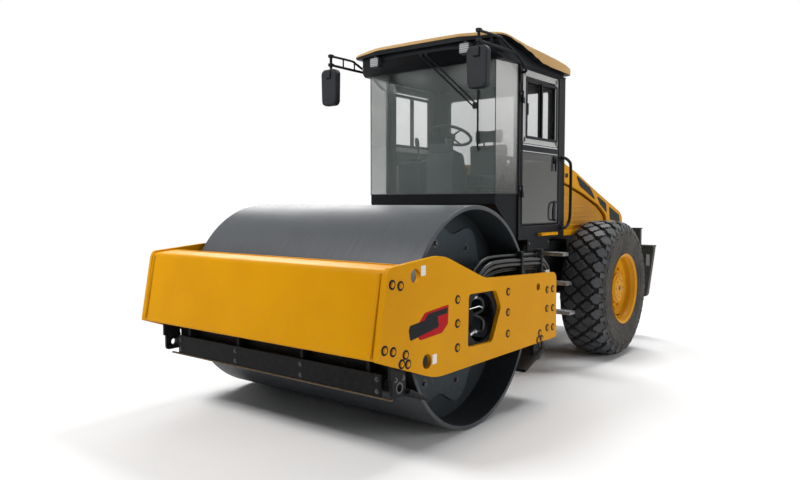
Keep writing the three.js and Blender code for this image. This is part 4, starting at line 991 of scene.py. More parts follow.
def dressPlates():
    p = plateMake
    rings, heads = onBothSides(p["x"], plateBolts), onBothSides(p["x"] + 0.003, plateBolts)
    # black rings round the plate bolts: painted shade of the hollow round each bolt
    boltPiece("plateBoltShadeRings", rings, "front_frame", cabBlack, 0.018, 0.003, p["ring"])
    boltPiece("plateBolts", heads, "front_frame", yellowPaint, p["head"], 0.006, 0.0165)
    shape = Shape()
    x = p["x"]
    for low, high in (((-0.728, 1.092), (-0.682, 1.152)), ((-0.610, 0.552), (-0.566, 0.610))):  # blank tags
        shape.prism("x", [low, (high[0], low[1]), high, (low[0], high[1])], x - 0.001, x + 0.001)
    shape.finish = 1
    red = [(-0.775, 0.795, 0.02), (-0.690, 0.872, 0.03), (-0.440, 0.893, 0.006), (-0.446, 0.775, 0.03)]
    red += [(-0.512, 0.728, 0.02), (-0.745, 0.716, 0.03)]
    shape.prism("x", rounded(red), x - 0.001, x + 0.0014)
    shape.finish = 2
    band = [(-0.845, 0.790, 0.012), (-0.835, 0.815, 0.012), (-0.560, 0.840, 0.012), (-0.545, 0.770, 0.012)]
    shape.prism("x", rounded([*band, (-0.832, 0.728, 0.012)]), x - 0.001, x + 0.0022)
    strip = [(-0.655, 0.862, 0.006), (-0.452, 0.876, 0.004), (-0.455, 0.842, 0.004), (-0.700, 0.826, 0.006)]
    shape.prism("x", rounded(strip), x - 0.001, x + 0.0020)
    shape.mirrored()
    shape.piece("plateMarks", "front_frame", [whitePaint, redPaint, cabBlack])
    seams = Shape()
    for x in (1.078, -1.078):  # weld seams down the front beam, close to the plates
        seams.tube([(x, -1.1245, 0.68), (x, -1.0345, 1.128)], 0.008, 10)
    seams.finish = 1
    # a thin darker line beside each seam: painted shade of the groove along it
    for x in (1.0675, -1.0675):
        seams.tube([(x, -1.1235, 0.68), (x, -1.0335, 1.128)], 0.0045, 8)
    seams.finish = 0
    seams.tube([(-1.09, -0.860, 1.1615), (1.09, -0.860, 1.1615)], 0.004, 8)
    seams.piece("beamSeams", "front_frame", [yellowPaint, deepYellow])


dressPlates()


# motor fittings behind the window in each plate
def makeMotorFittings():
    shape = Shape()
    for z, y in ((0.865, -0.105), (0.632, -0.100)):
        shape.disc("x", (0, y, z), 0.030, 0.992, 1.030, 6, 0.003)
        shape.disc("x", (0, y, z), 0.020, 1.028, 1.048, 24, 0.003)
        bend = [(1.040, y, z), (1.052, y + 0.03, z + 0.004), (1.050, y + 0.085, z + 0.02)]
        shape.tube(smoothPath(bend, 6), 0.011, 12)
        shape.disc("y", (1.050, 0, z + 0.02), 0.016, y + 0.080, y + 0.112, 6, 0.002)
    shape.tube([(1.010, -0.02, 0.80), (1.045, 0.06, 0.815), (1.048, 0.10, 0.80)], 0.006, 10)
    shape.finish = 1
    for z, y, way in ((0.865, -0.105, 1), (0.632, -0.100, -1)):
        path = [(1.050, y + 0.105, z + 0.022), (1.050, y + 0.19, z - way * 0.01)]
        path += [(1.035, y + 0.22, z - way * 0.08), (0.99, y + 0.18, z - way * 0.115)]
        shape.tube(smoothPath(path, 6), 0.014, 14)
    shape.finish = 2
    shape.disc("x", (0, 0, 0.75), 0.070, 0.984, 1.000, 48, 0.004)
    shape.disc("x", (0, 0, 0.75), 0.112, 0.930, 0.966, 64, 0.005)
    for place in circled(Vector((0, 0, drumMake["radius"])), 0, 0.094, 6):
        shape.disc("x", place, 0.010, 0.965, 0.976, 6, 0.002)
    shape.mirrored()
    shape.piece("motorFittings", "front_frame", [brightSteel, hoseRubber, blackPaint])


makeMotorFittings()

scraperMake = {"front": (-0.855, 0.460, 0.345, -1), "rear": (0.945, 0.420, 0.275, 1), "reach": 0.758}


def dressScraper(name, barY, barZ, tipZ, away):  # a worn blade strip bolted over the edge of the scraper
    tipY = away * math.sqrt(scraperMake["reach"] ** 2 - (drumMake["radius"] - tipZ) ** 2)
    foot = Vector((barY - away * 0.031, barZ - 0.017))
    tip = Vector((tipY, tipZ + 0.0065))
    along = (tip - foot).normalized()
    out = Vector((-along.y, along.x)) * (1 if away < 0 else -1)
    if out.y < 0:
        out = -out
    a, b = foot + along * 0.012, tip - along * 0.002
    thick = out * 0.006
    shape = Shape()
    outline = [tuple(a), tuple(b), tuple(b + thick), tuple(a + thick)]
    shape.prism("x", outline, -1.120, 1.120, 0.001, 1)
    shape.piece(f"{name}Blade", "front_frame", [bladeSteel])
    mid = a + (b - a) * 0.35 + thick
    places = [((-1.045 + 2.09 * i / 11, mid.x, mid.y), (0, out.x, out.y)) for i in range(12)]
    boltPiece(f"{name}Bolts", places, "front_frame", boltSteel, 0.011, 0.009, 0.017)


for name in ("front", "rear"):
    dressScraper(name, *scraperMake[name])
# a flat cover down the front scraper's bar, its worn lower lip, and a black sheet that shuts the gap above
# it, painted shade where the gap is in shade
apron = Shape()
apron.box((-0.980, -0.912, 0.392), (0.980, -0.9005, 0.528), 0.003)
apron.box((-0.980, -0.870, 0.5055), (0.980, -0.9005, 0.512), 0.001, 1)
# a black sheet in the gap above the bar: painted shade
apron.prism("x", [(-0.826, 0.500), (-0.822, 0.500), (-0.822, 0.6595), (-0.826, 0.6595)], -1.070, 1.070)
apron.finish = 1
apron.box((-1.060, -0.918, 0.384), (1.060, -0.8995, 0.394), 0.002, 1)
apron.piece("scraperApron", "front_frame", [blackPaint, wornLip])
apronBolts = [((x, -0.912, z), (0, -1, 0)) for x in (-0.950, -0.32, 0.32, 0.950) for z in (0.425, 0.495)]
boltPiece("apronBolts", apronBolts, "front_frame", boltSteel, 0.010, 0.008, 0.016)
# a bush in each scraper lug, a plate and bolts beside it
lugs = Shape()
for y, z in ((-0.889, 0.464), (0.840, 0.365)):
    lugs.turned("x", [(1.0955, 0.0225), (1.0975, 0.0225), (1.0975, 0.034), (1.0955, 0.034)], (0, y, z), 32)
lugs.finish = 1
lugs.prism("x", [(-0.968, 0.520), (-0.830, 0.520), (-0.830, 0.6595), (-0.968, 0.6595)], 1.074, 1.0945, 0.003)
lugs.mirrored()
lugs.piece("lugBushes", "front_frame", [boltSteel, blackPaint])
lugBolts = onBothSides(1.095, [(-0.855, 0.515), (-0.922, 0.515), (0.880, 0.42)])
boltPiece("lugBolts", lugBolts, "front_frame", boltSteel, 0.010, 0.008, 0.016)
print("front frame dressed")


# hoses over the left plate, through two upright clamps
def makeHoses():
    shape = Shape()
    x = 1.079
    for i in range(3):
        rise, back = 0.030 * i, 0.034 * i
        path = [(x, 0.02 - back, 0.962), (x, 0.026 - back, 1.01 + rise / 2)]
        path += [(x, 0.14 - back / 2, 1.062 + rise), (x, 0.30, 1.075 + rise)]
        path += [(x, 0.60, 1.066 + rise), (x, 0.905, 1.050 + rise)]
        path += [(x, 0.995 + back, 1.0 + rise / 2), (x, 1.0 + back, 0.966)]
        if i == 2:
            path = [(p[0] - 0.028, p[1], p[2] + 0.004) for p in path]
        shape.tube(smoothPath(path, 7), 0.014 if i < 2 else 0.011, 16)
    for i in range(2):
        low = x - 0.024
        thin = [(x - 0.02, 0.05 + 0.03 * i, 0.97), (low, 0.16, 1.022 - 0.012 * i)]
        thin += [(low, 0.40, 1.042 - 0.014 * i), (low, 0.905, 1.022 - 0.014 * i), (low, 0.99, 0.965)]
        shape.tube(smoothPath(thin, 7), 0.0065, 12)
    shape.finish = 1
    for i in range(2):
        shape.disc("z", (x, 0.02 - 0.034 * i, 0), 0.0185, 0.9585, 0.985, 6, 0.002)
        shape.disc("z", (x, 1.0 + 0.034 * i, 0), 0.0185, 0.9505, 0.978, 6, 0.002)
        shape.tube([(x, 0.020 - 0.034 * i, 0.984), (x, 0.021 - 0.034 * i, 1.0)], 0.0165, 14)
        shape.tube([(x, 1.0 + 0.034 * i, 0.977), (x, 0.999 + 0.034 * i, 0.992)], 0.0165, 14)
    shape.finish = 2
    for y in (0.571, 0.891):
        shape.box((1.0600, y, 0.953), (1.0990, y + 0.028, 1.150), 0.003)
        shape.box((1.045, y - 0.010, 1.150), (1.0995, y + 0.038, 1.162), 0.003)
        shape.disc("x", (0, y + 0.014, 1.128), 0.008, 1.098, 1.104, 6, 0.001)
        shape.disc("x", (0, y + 0.014, 0.972), 0.008, 1.098, 1.104, 6, 0.001)
    finishes = [hoseRubber, brightSteel, blackPaint]
    shape.piece("drumHoses", "front_frame", finishes, ["drum_hoses"])


makeHoses()


# doors: panes, seals, sliding windows, handles, latches, screws
cabMake = {"x": 0.712, "frontY": 1.284, "rearY": 2.006, "barZ": 1.945, "barTop": 2.020}


def ringStrip(shape, axis, outline, width, start, end):  # a flat closed band that follows an outline
    inside = []
    n = len(outline)
    for i, (u, v) in enumerate(outline):
        a = Vector(outline[i - 1])
        b = Vector((u, v))
        c = Vector(outline[(i + 1) % n])
        one, two = (b - a).normalized(), (c - b).normalized()
        mitre = Vector((-(one.y + two.y), one.x + two.x)).normalized()
        inside.append(tuple(b + mitre * width / max(0.3, mitre.dot(Vector((-one.y, one.x))))))
    loops = outline + inside
    points = [placed(axis, u, v, along) for along in (start, end) for u, v in loops]
    faces = []
    for i in range(n):
        j = (i + 1) % n
        faces += [(i, j, n + j, n + i), (2 * n + i, 2 * n + j, 3 * n + j, 3 * n + i)]
        faces += [(i, j, 2 * n + j, 2 * n + i), (n + i, n + j, 3 * n + j, 3 * n + i)]
    shape.keep(points, faces)


def panel(y0, z0, y1, z1, radius):
    return rounded([(y0, z0, radius), (y1, z0, radius), (y1, z1, radius), (y0, z1, radius)])


def dressDoor(name, side):
    c = cabMake
    body = f"door_{name}"
    x = c["x"]
    y0, y1 = c["frontY"] + 0.059, c["rearY"] - 0.059
    shape = Shape()
    # flush panes: a dusty lower one, and round the sliding window a pale border whose paleness is a painted
    # reflection
    front, rear = c["frontY"] + 0.010, c["rearY"] - 0.034
    shape.finish = 3
    shape.prism("x", panel(front, 1.338, rear, c["barZ"], 0.012), x + 0.0004, x + 0.0050, 0.001, 1)
    shape.finish = 4
    ringStrip(shape, "x", panel(front, c["barTop"], rear, 2.638, 0.012), 0.052, x + 0.0004, x + 0.0040)
    shape.finish = 1
    shape.box((x + 0.0004, front, c["barZ"]), (x + 0.0060, rear, c["barTop"]), 0.0015, 1)
    shape.finish = 0
    border = panel(front - 0.005, 1.333, rear + 0.005, 2.643, 0.014)
    ringStrip(shape, "x", border, 0.006, x + 0.0002, x + 0.0056)
    # sliding window frame and its two leaves
    w0, w1, v0, v1 = y0 + 0.004, y1 + 0.010, 2.062, 2.572
    shape.finish = 1
    ringStrip(shape, "x", panel(w0, v0, w1, v1, 0.02), 0.024, x - 0.020, x + 0.0085)
    middle = (w0 + w1) / 2
    shape.box((x - 0.018, middle - 0.012, v0 + 0.01), (x + 0.007, middle + 0.012, v1 - 0.01), 0.002)
    shape.box((x - 0.019, middle - 0.040, v0 + 0.01), (x - 0.006, middle - 0.026, v1 - 0.01), 0.002)
    shape.box((x - 0.004, w0 + 0.024, 2.26), (x + 0.012, w0 + 0.040, 2.36), 0.003)
    # latch box, its handle and the lower grab handle
    shape.box((x + 0.001, 1.878, 1.868), (x + 0.018, 1.946, 1.938), 0.006)
    shape.box((x + 0.016, 1.890, 1.800), (x + 0.030, 1.914, 1.915), 0.006)
    grab = [(0.004, 1.925, 1.520), (0.024, 1.920, 1.520), (0.027, 1.885, 1.516), (0.027, 1.850, 1.480)]
    grab += [(0.027, 1.845, 1.390), (0.027, 1.870, 1.362), (0.024, 1.920, 1.358), (0.004, 1.925, 1.358)]
    shape.tube(smoothPath([(x + out, y, z) for out, y, z in grab], 6), 0.009, 12)
    shape.box((x + 0.001, 1.905, 1.345), (x + 0.007, 1.945, 1.535), 0.002)
    shape.finish = 2
    shape.box((x + 0.004, front + 0.004, 2.004), (x + 0.0075, rear - 0.004, 2.014), 0.001)
    shape.box((x + 0.004, front + 0.004, 1.950), (x + 0.0075, rear - 0.004, 1.957), 0.001)
    if side < 0:
        shape.flipped()
    finishes = [sealRubber, cabBlack, brightSteel, dustyGlass, paleGlass]
    shape.piece(f"doorTrim{name.title()}", body, finishes)
    hinge = [(side * (x + 0.007), 1.3005 + d, z + 0.025) for z in (1.56, 2.35) for d in (0.0, 0.016)]
    places = [(p, (side, 0, 0)) for p in hinge]
    boltPiece(f"hingeBolts{name.title()}", places, body, boltSteel, 0.005, 0.004, 0.007)


for name, side in sides:
    dressDoor(name, side)


# cab shell: seals at the glass, rubber lips, gutters, hinge screws, work lights, wiper
def dressCab():
    shape = Shape()
    for s in (1, -1):
        # joint strip between the windscreen and the corner glass, and along the cab's post
        shape.tube([(s * 0.6545, 0.9450, 1.592), (s * 0.6545, 0.9450, 2.663)], 0.0035, 8)
        shape.tube([(s * 0.7005, 1.2375, 1.592), (s * 0.7005, 1.2375, 2.663)], 0.0045, 8)
        shape.tube([(s * 0.660, 0.952, 1.5895), (s * 0.7005, 1.232, 1.5895)], 0.005, 8)
        # a rubber lip all round the doorway
        ringStrip(shape, "x", panel(1.2815, 1.3175, 2.0085, 2.6525, 0.026), -0.007, s * 0.708, s * 0.7150)
    shape.tube([(-0.656, 0.9465, 1.5895), (0.656, 0.9465, 1.5895)], 0.005, 8)
    shape.finish = 1
    for s in (1, -1):  # rain gutter
        shape.box((s * 0.7125, 1.262, 2.662), (s * 0.728, 2.120, 2.674), 0.003)
    shape.piece("cabTrim", "rear_chassis", [sealRubber, cabBlack])
    places = onBothSides(0.719, [(1.2495 + d, z + 0.0755) for z in (1.56, 2.35) for d in (0.0, 0.014)])
    places += onBothSides(0.712, [(y, z) for y in (1.262, 2.030, 2.118) for z in (1.33, 1.95, 2.60)])
    boltPiece("cabBolts", places, "rear_chassis", boltSteel, 0.0055, 0.004, 0.008)
    lamps = Shape()
    for x in (0.475, -0.455):  # work lights against the fascia, ribbed glass in front
        lamps.finish = 0
        lamps.prism("y", panel(x - 0.050, 2.700, x + 0.050, 2.786, 0.012), 0.752, 0.815, 0.004)
        lamps.box((x - 0.012, 0.765, 2.780), (x + 0.012, 0.800, 2.800), 0.002)
        lamps.finish = 1
        lamps.prism("y", panel(x - 0.042, 2.708, x + 0.042, 2.778, 0.010), 0.7485, 0.753, 0.001, 1)
        lamps.finish = 0
        for k in range(4):
            lamps.box((x - 0.042, 0.7470, 2.7175 + 0.016 * k), (x + 0.042, 0.7490, 2.7205 + 0.016 * k))
    lamps.piece("workLights", "rear_chassis", [trimPlastic, whiteLens])
    wiper = Shape()
    for x, shift in ((0.030, -0.010), (0.085, 0.012)):
        path = [(x, 0.790, 2.752), (x + 0.02, 0.776, 2.720), (x + 0.10, 0.815, 2.640)]
        path += [(0.470 + shift, 0.925, 2.312 + shift)]
        wiper.tube(smoothPath(path, 6), 0.0062, 10)
        wiper.disc("y", (x, 0, 2.752), 0.016, 0.780, 0.812, 20, 0.003)
    wiper.box((0.452, 0.920, 2.284), (0.500, 0.933, 2.334), 0.003)
    wiper.box((0.488, 0.929, 1.950), (0.500, 0.935, 2.436), 0.001)
    wiper.finish = 1
    wiper.box((0.4925, 0.934, 1.945), (0.4965, 0.9455, 2.440))
    wiper.piece("wiper", "rear_chassis", [cabBlack, sealRubber])


dressCab()

# roof: one smooth skin, its foot black where it meets the fascia, its cap thin at the front
roofMake = {"half": 0.780, "frontY": 0.720, "rearY": 2.150, "bow": 0.130, "count": 192}
roofMake.update(highest=2.8805, crown=2.4, corner=0.078, bend=0.2, rearCorner=0.07)
# side views of the roof, (y, z): its underside, its foot, its edge and its middle line
roofUnder = [(0.70, 2.7955), (0.927, 2.8225), (1.10, 2.803), (1.304, 2.767), (1.42, 2.736)]
roofUnder += [(1.548, 2.708), (1.75, 2.698), (2.17, 2.6905)]
roofLine = [(0.70, 2.842), (0.80, 2.834), (0.927, 2.826), (1.10, 2.804), (1.304, 2.768)]
roofLine += [(1.42, 2.737), (1.548, 2.709), (1.75, 2.699), (2.17, 2.6915)]
roofEdge = [(0.70, 2.856), (0.80, 2.851), (0.927, 2.843), (1.10, 2.826), (1.266, 2.812)]
roofEdge += [(1.545, 2.800), (1.80, 2.787), (2.00, 2.770), (2.10, 2.748), (2.17, 2.722)]
roofCrest = [(0.70, 2.864), (0.90, 2.876), (1.10, 2.880), (1.30, 2.877), (1.60, 2.862)]
roofCrest += [(1.85, 2.838), (2.05, 2.800), (2.17, 2.745)]


def heightOn(curve, y):
    for (a, za), (b, zb) in zip(curve, curve[1:]):
        if y <= b:
            t = max(0.0, (y - a) / (b - a))
            t = t if curve is roofEdge else t * t * (3 - 2 * t)
            return za + (zb - za) * t
    return curve[-1][1]


def makeRoof():
    r = roofMake
    h, f, b = r["half"], r["frontY"], r["bow"]
    bend = (h * 0.55, f + b * 0.2)
    plan = [(-h, f + b, r["corner"]), (-bend[0], bend[1], r["bend"]), (*bend, r["bend"])]
    plan += [(h, f + b, r["corner"]), (h, r["rearY"], r["rearCorner"]), (-h, r["rearY"], r["rearCorner"])]
    plan = rounded(plan, 8)
    closed = [Vector(p) for p in plan] + [Vector(plan[0])]
    lengths = [0.0]
    for p, q in zip(closed, closed[1:]):
        lengths.append(lengths[-1] + (q - p).length)
    outline = []
    k = 0
    for i in range(r["count"]):
        want = lengths[-1] * i / r["count"]
        while lengths[k + 1] < want:
            k += 1
        t = (want - lengths[k]) / (lengths[k + 1] - lengths[k])
        outline.append(closed[k].lerp(closed[k + 1], t))
    middle = Vector((0, (f + r["rearY"]) / 2))
    shape = Shape()
    rings = []

    def ring(scale, height):
        made = []
        for p in outline:
            q = middle + (p - middle) * scale
            made.append(shape.bm.verts.new((q.x, q.y, height(q))))
        rings.append(made)

    def top(q):
        across = min(1.0, abs(q.x) / h)
        low, high = heightOn(roofEdge, q.y), heightOn(roofCrest, q.y)
        return min(r["highest"], low + (high - low) * (1 - across ** r["crown"]))

    for scale in (0.4, 0.8, 0.985):
        ring(scale, lambda q: heightOn(roofUnder, q.y))
    ring(0.994, lambda q: heightOn(roofUnder, q.y) + 0.003)
    ring(0.994, lambda q: heightOn(roofLine, q.y) - 0.001)
    ring(0.998, lambda q: heightOn(roofLine, q.y))
    ring(1.0, lambda q: heightOn(roofLine, q.y) + 0.004)
    ring(1.0, lambda q: max(heightOn(roofLine, q.y) + 0.007, heightOn(roofEdge, q.y) - 0.012))
    ring(0.997, lambda q: max(heightOn(roofLine, q.y) + 0.010, heightOn(roofEdge, q.y) - 0.004))
    for scale in (0.988, 0.96, 0.90, 0.80, 0.66, 0.5, 0.34, 0.18, 0.06):
        ring(scale, top)
    n = r["count"]
    for level, (near, far) in enumerate(zip(rings, rings[1:])):
        for i in range(n):
            face = shape.bm.faces.new((near[i], near[(i + 1) % n], far[(i + 1) % n], far[i]))
            face.material_index = 1 if level < 5 else 0
    shape.bm.faces.new(rings[-1])
    shape.bm.faces.new(rings[0]).material_index = 1
    bmesh.ops.recalc_face_normals(shape.bm, faces=shape.bm.faces[:])
    shape.piece("roofSkin", "rear_chassis", [roofTan, cabBlack], ["roof_skin"], 50)


makeRoof()
print("cab dressed")


def mirrorOutline(x, top, halfTop, bottom, halfBottom, radius):
    ends = [(x - halfTop, top), (x + halfTop, top), (x + halfBottom, bottom), (x - halfBottom, bottom)]
    return rounded([(u, v, radius) for u, v in ends], 8)


# mirrors on pairs of bent arms, their glass towards the driver
def makeMirrors():
    for name, side in sides:
        shape = Shape()
        x, y = 0.752, 0.520
        lower = [(0.7125, 1.262, 2.600), (0.758, 1.258, 2.604), (0.770, 1.220, 2.630), (0.768, 1.080, 2.712)]
        lower += [(0.764, 1.000, 2.721), (0.760, 0.800, 2.721), (x, y + 0.02, 2.721), (x, y - 0.004, 2.721)]
        upper = [(0.768, 1.075, 2.716), (0.766, 0.960, 2.752), (0.764, 0.860, 2.786), (0.760, 0.800, 2.800)]
        upper += [(x, y + 0.03, 2.798), (x, y - 0.004, 2.797)]
        shape.tube(smoothPath(lower, 7), 0.0115, 14)
        shape.tube(smoothPath(upper, 7), 0.0105, 14)
        shape.tube([(x, y, 2.640), (x, y, 2.806)], 0.0125, 14)
        for near in (0.690, 0.840):
            shape.tube([(0.761, near, 2.721), (0.762, near, 2.794)], 0.0070, 10)
        shape.box((0.7121, 1.241, 2.520), (0.7205, 1.283, 2.640), 0.002)
        for z in (2.797, 2.721):
            shape.box((x - 0.018, y - 0.020, z - 0.014), (x + 0.018, y + 0.022, z + 0.014), 0.004)
        shape.finish = 1
        head = mirrorOutline(x, 2.680, 0.0925, 2.365, 0.0845, 0.045)
        shape.prism("y", head, y - 0.035, y + 0.030, 0.014, 3)
        shape.box((x - 0.028, y - 0.050, 2.60), (x + 0.028, y - 0.030, 2.672), 0.008)
        shape.finish = 2
        shape.prism("y", mirrorOutline(x, 2.668, 0.080, 2.377, 0.073, 0.035), y + 0.0295, y + 0.0325)
        if side < 0:
            shape.flipped()
        finishes = [blackPaint, mirrorPlastic, mirrorGlass]
        shape.piece(f"mirror{name.title()}", "rear_chassis", finishes, [f"mirror_{name}"])


# bent rails behind the doors, a round foot at each end
def makeHandrails():
    for name, side in sides:
        shape = Shape()
        path = [(0.7122, 2.060, 1.930), (0.735, 2.060, 1.930), (0.747, 2.085, 1.928), (0.748, 2.160, 1.905)]
        path += [(0.748, 2.199, 1.860), (0.748, 2.204, 1.650), (0.748, 2.196, 1.40), (0.748, 2.160, 1.325)]
        path += [(0.747, 2.095, 1.288), (0.735, 2.058, 1.285), (0.7122, 2.055, 1.285)]
        shape.tube(smoothPath([(side * x, y, z) for x, y, z in path], 6), 0.0142, 18)
        for y, z in ((2.060, 1.930), (2.055, 1.285)):
            shape.disc("x", (0, y, z), 0.028, side * 0.7122, side * 0.7180, 28, 0.001)
        replaced = [f"handrail_{name}"]
        shape.piece(f"handrail{name.title()}", "rear_chassis", [blackPaint], replaced)


makeMirrors()
makeHandrails()

stepMake = {"back": 0.5406, "y": 1.870, "depth": 0.120, "topZ": 1.065, "pitch": 0.265}
stepMake.update(reach=0.290, spread=0.036)


def makeSteps():  # folded treads with rows of teeth
    s = stepMake
    near, far = s["y"], s["y"] + s["depth"]
    for name, side in sides:
        shape = Shape()
        shape.box((side * s["back"], near, 0.490), (side * (s["back"] + 0.014), far, 1.130), 0.003)
        teeth = []
        for i in range(3):
            top = s["topZ"] - i * s["pitch"]
            out = s["back"] + s["reach"] + i * s["spread"]
            x0, x1 = side * (s["back"] + 0.010), side * out
            shape.finish = 1
            shape.box((x0, near, top - 0.008), (x1, far, top - 0.004), 0.001, 1)
            for y in (near, far - 0.004):
                shape.box((x0, y, top - 0.034), (x1, y + 0.004, top - 0.004), 0.001, 1)
            shape.box((x1 - side * 0.004, near, top - 0.034), (x1, far, top - 0.004), 0.001, 1)
            tooth = Shape()
            for k in range(2):
                x = x0 + side * (0.012 + 0.018 * k)
                y = near + 0.008 + 0.012 * k
                wedge = [(x, top - 0.005), (x + side * 0.014, top - 0.005), (x + side * 0.007, top + 0.001)]
                tooth.prism("y", wedge, y, y + 0.006)
            count = int((abs(x1 - x0) - 0.02) / 0.036)
            line = rowMesh(tooth.mesh("tooth"), brightSteel, count, (side * 0.036, 0, 0))
            teeth.append(rowMesh(line, brightSteel, 4, (0, 0.0255, 0)))
        finishes = [blackPaint, brightSteel]
        shape.piece(f"stepTreads{name.title()}", "rear_chassis", finishes, [f"steps_{name}"])
        grip = Shape()
        for mesh in teeth:
            grip.bm.from_mesh(mesh)
        for face in grip.bm.faces:
            face.material_index = 0
        grip.piece(f"stepTeeth{name.title()}", "rear_chassis", [brightSteel], weighted=False)


makeSteps()


# deck edge, guard panel, tank caps and straps
def dressDeck():
    shape = Shape()
    shape.box((0.700, 1.600, 1.225), (0.752, 1.930, 1.250), 0.003)
    for i in range(4):
        shape.box((0.7515, 1.64 + 0.075 * i, 1.229), (0.7535, 1.665 + 0.075 * i, 1.246), 0.001, 1)
    shape.finish = 1
    shape.box((0.690, 1.425, 1.098), (0.704, 1.855, 1.206), 0.004)
    shape.box((0.640, 1.480, 1.150), (0.692, 1.520, 1.240), 0.002)
    shape.box((0.640, 1.750, 1.150), (0.692, 1.790, 1.240), 0.002)
    shape.finish = 2
    for y in (1.455, 1.825):
        shape.disc("x", (0, y, 1.165), 0.011, 0.7035, 0.709, 20, 0.003)
    shape.mirrored()
    shape.piece("deckEdge", "rear_chassis", [yellowPaint, blackPaint, boltSteel])
    caps = Shape()
    for s in (1, -1):
        caps.finish = 0
        caps.disc("z", (s * 0.474, 1.780, 0), 0.048, 1.149, 1.172, 32, 0.005)
        caps.finish = 1
        for y in (1.74, 2.50):
            caps.box((s * 0.5385, y, 0.66), (s * 0.5445, y + 0.04, 1.12), 0.001, 1)
    caps.piece("tankCaps", "rear_chassis", [trimPlastic, blackPaint])


dressDeck()
print("outside of the cab made")


# hood: dark side grilles, slatted rear slope, latches
hoodMake = {"side": 0.650, "slope": -0.3182, "grilleTop": (3.160, 1.6093), "grilleLong": 0.560}
hoodMake.update(grilleHalf=0.400, slatHalf=0.385, slats=20, slatStep=0.027, barStep=0.034)
ribMake = {"count": 8, "low": 1.290, "step": 0.044, "from": 2.205, "shortest": 2.34, "x": (0.6195, 0.6275)}
hoodGrilles = [
    [(2.545, 1.798), (2.915, 1.670), (3.078, 1.534), (2.640, 1.686)],
    [(3.085, 1.598), (3.350, 1.512), (3.385, 1.402), (3.170, 1.508)],
    [(3.440, 1.478), (3.750, 1.382), (3.780, 1.300), (3.475, 1.332)],
]
ridgeLine = [(2.136, 1.721), (2.317, 1.678), (2.681, 1.595), (3.080, 1.483), (3.253, 1.386), (3.299, 1.310)]


def dressHood():
    h = hoodMake
    shape = Shape()
    for outline in hoodGrilles:
        shape.finish = 0
        loop = rounded([(y, z, 0.012) for y, z in outline], 4)
        shape.prism("x", loop, h["side"] - 0.001, h["side"] + 0.0015)
        shape.finish = 1
        middle = (sum(y for y, z in outline) / 4, sum(z for y, z in outline) / 4)
        for k in range(-6, 7):  # fine bars inside each dark grille
            cut = []
            at = middle[0] + k * h["barStep"]
            for (ya, za), (yb, zb) in zip(outline, outline[1:] + outline[:1]):
                if (ya - at) * (yb - at) < 0:
                    cut.append(za + (zb - za) * (at - ya) / (yb - ya))
            if len(cut) == 2 and abs(cut[0] - cut[1]) > 0.03:
                near, far = (h["side"] + 0.001, at - 0.003), (h["side"] + 0.003, at + 0.003)
                shape.box((*near, min(cut) + 0.012), (*far, max(cut) - 0.012), 0.0008, 1)
    shape.finish = 0
    for y in (2.215, 2.300):  # lift latch and its plate
        shape.box((h["side"] - 0.001, y, 1.760), (h["side"] + 0.006, y + 0.055, 1.800), 0.004)
    shape.mirrored()
    shape.finish = 0
    slope, run = h["slope"], h["grilleLong"]
    y, z = h["grilleTop"]
    low, high = z - 0.002, z + 0.004
    bed = [(y, low), (y + run, low + slope * run), (y + run, high + slope * run), (y, high)]
    shape.prism("x", bed, -h["grilleHalf"], h["grilleHalf"])  # the dark bed of the rear grille
    shape.piece("hoodTrim", "hood", [cabBlack, trimPlastic])
    slat = Shape()
    angle = math.atan2(slope, 1)
    y, z = y + 0.020, z + slope * 0.020
    tip = Vector((0.022 * math.cos(angle + 0.5), 0.022 * math.sin(angle + 0.5)))
    blade = [(y, z + 0.002), (y + 0.004, z + 0.002)]
    blade += [(y + 0.004 + tip.x, z + 0.002 + tip.y), (y + tip.x, z + 0.005 + tip.y)]
    slat.prism("x", blade, -h["slatHalf"], h["slatHalf"])
    made = rowMesh(slat.mesh("slat"), blackPaint, h["slats"], (0, h["slatStep"], h["slatStep"] * slope))
    settle("hoodSlats", made, "hood", [], weighted=False)


# ribs in the fixed side panels, each as long as the panel's slope lets it be, and the deck's ledge
def dressSidePanels():
    r = ribMake
    ribs = Shape()
    for i in range(r["count"]):
        z = r["low"] + r["step"] * i
        reach = 0
        for (ya, za), (yb, zb) in zip(ridgeLine, ridgeLine[1:]):
            if zb <= z + 0.03 <= za:
                reach = ya + (yb - ya) * (za - z - 0.03) / (za - zb)
        if reach > r["shortest"]:
            outline = [(r["from"], z), (reach - 0.05, z), (reach - 0.05, z + 0.010), (r["from"], z + 0.010)]
            ribs.prism("x", outline, *r["x"], 0.003)
    ribs.mirrored()
    ribs.piece("panelRibs", "rear_chassis", [deepYellow])
    ledge = Shape()
    for s in (1, -1):
        ledge.box((s * 0.6365, 2.180, 1.2008), (s * 0.660, 3.340, 1.2500), 0.004)
    ledge.piece("deckLedge", "rear_chassis", [yellowPaint])


dressHood()
dressSidePanels()


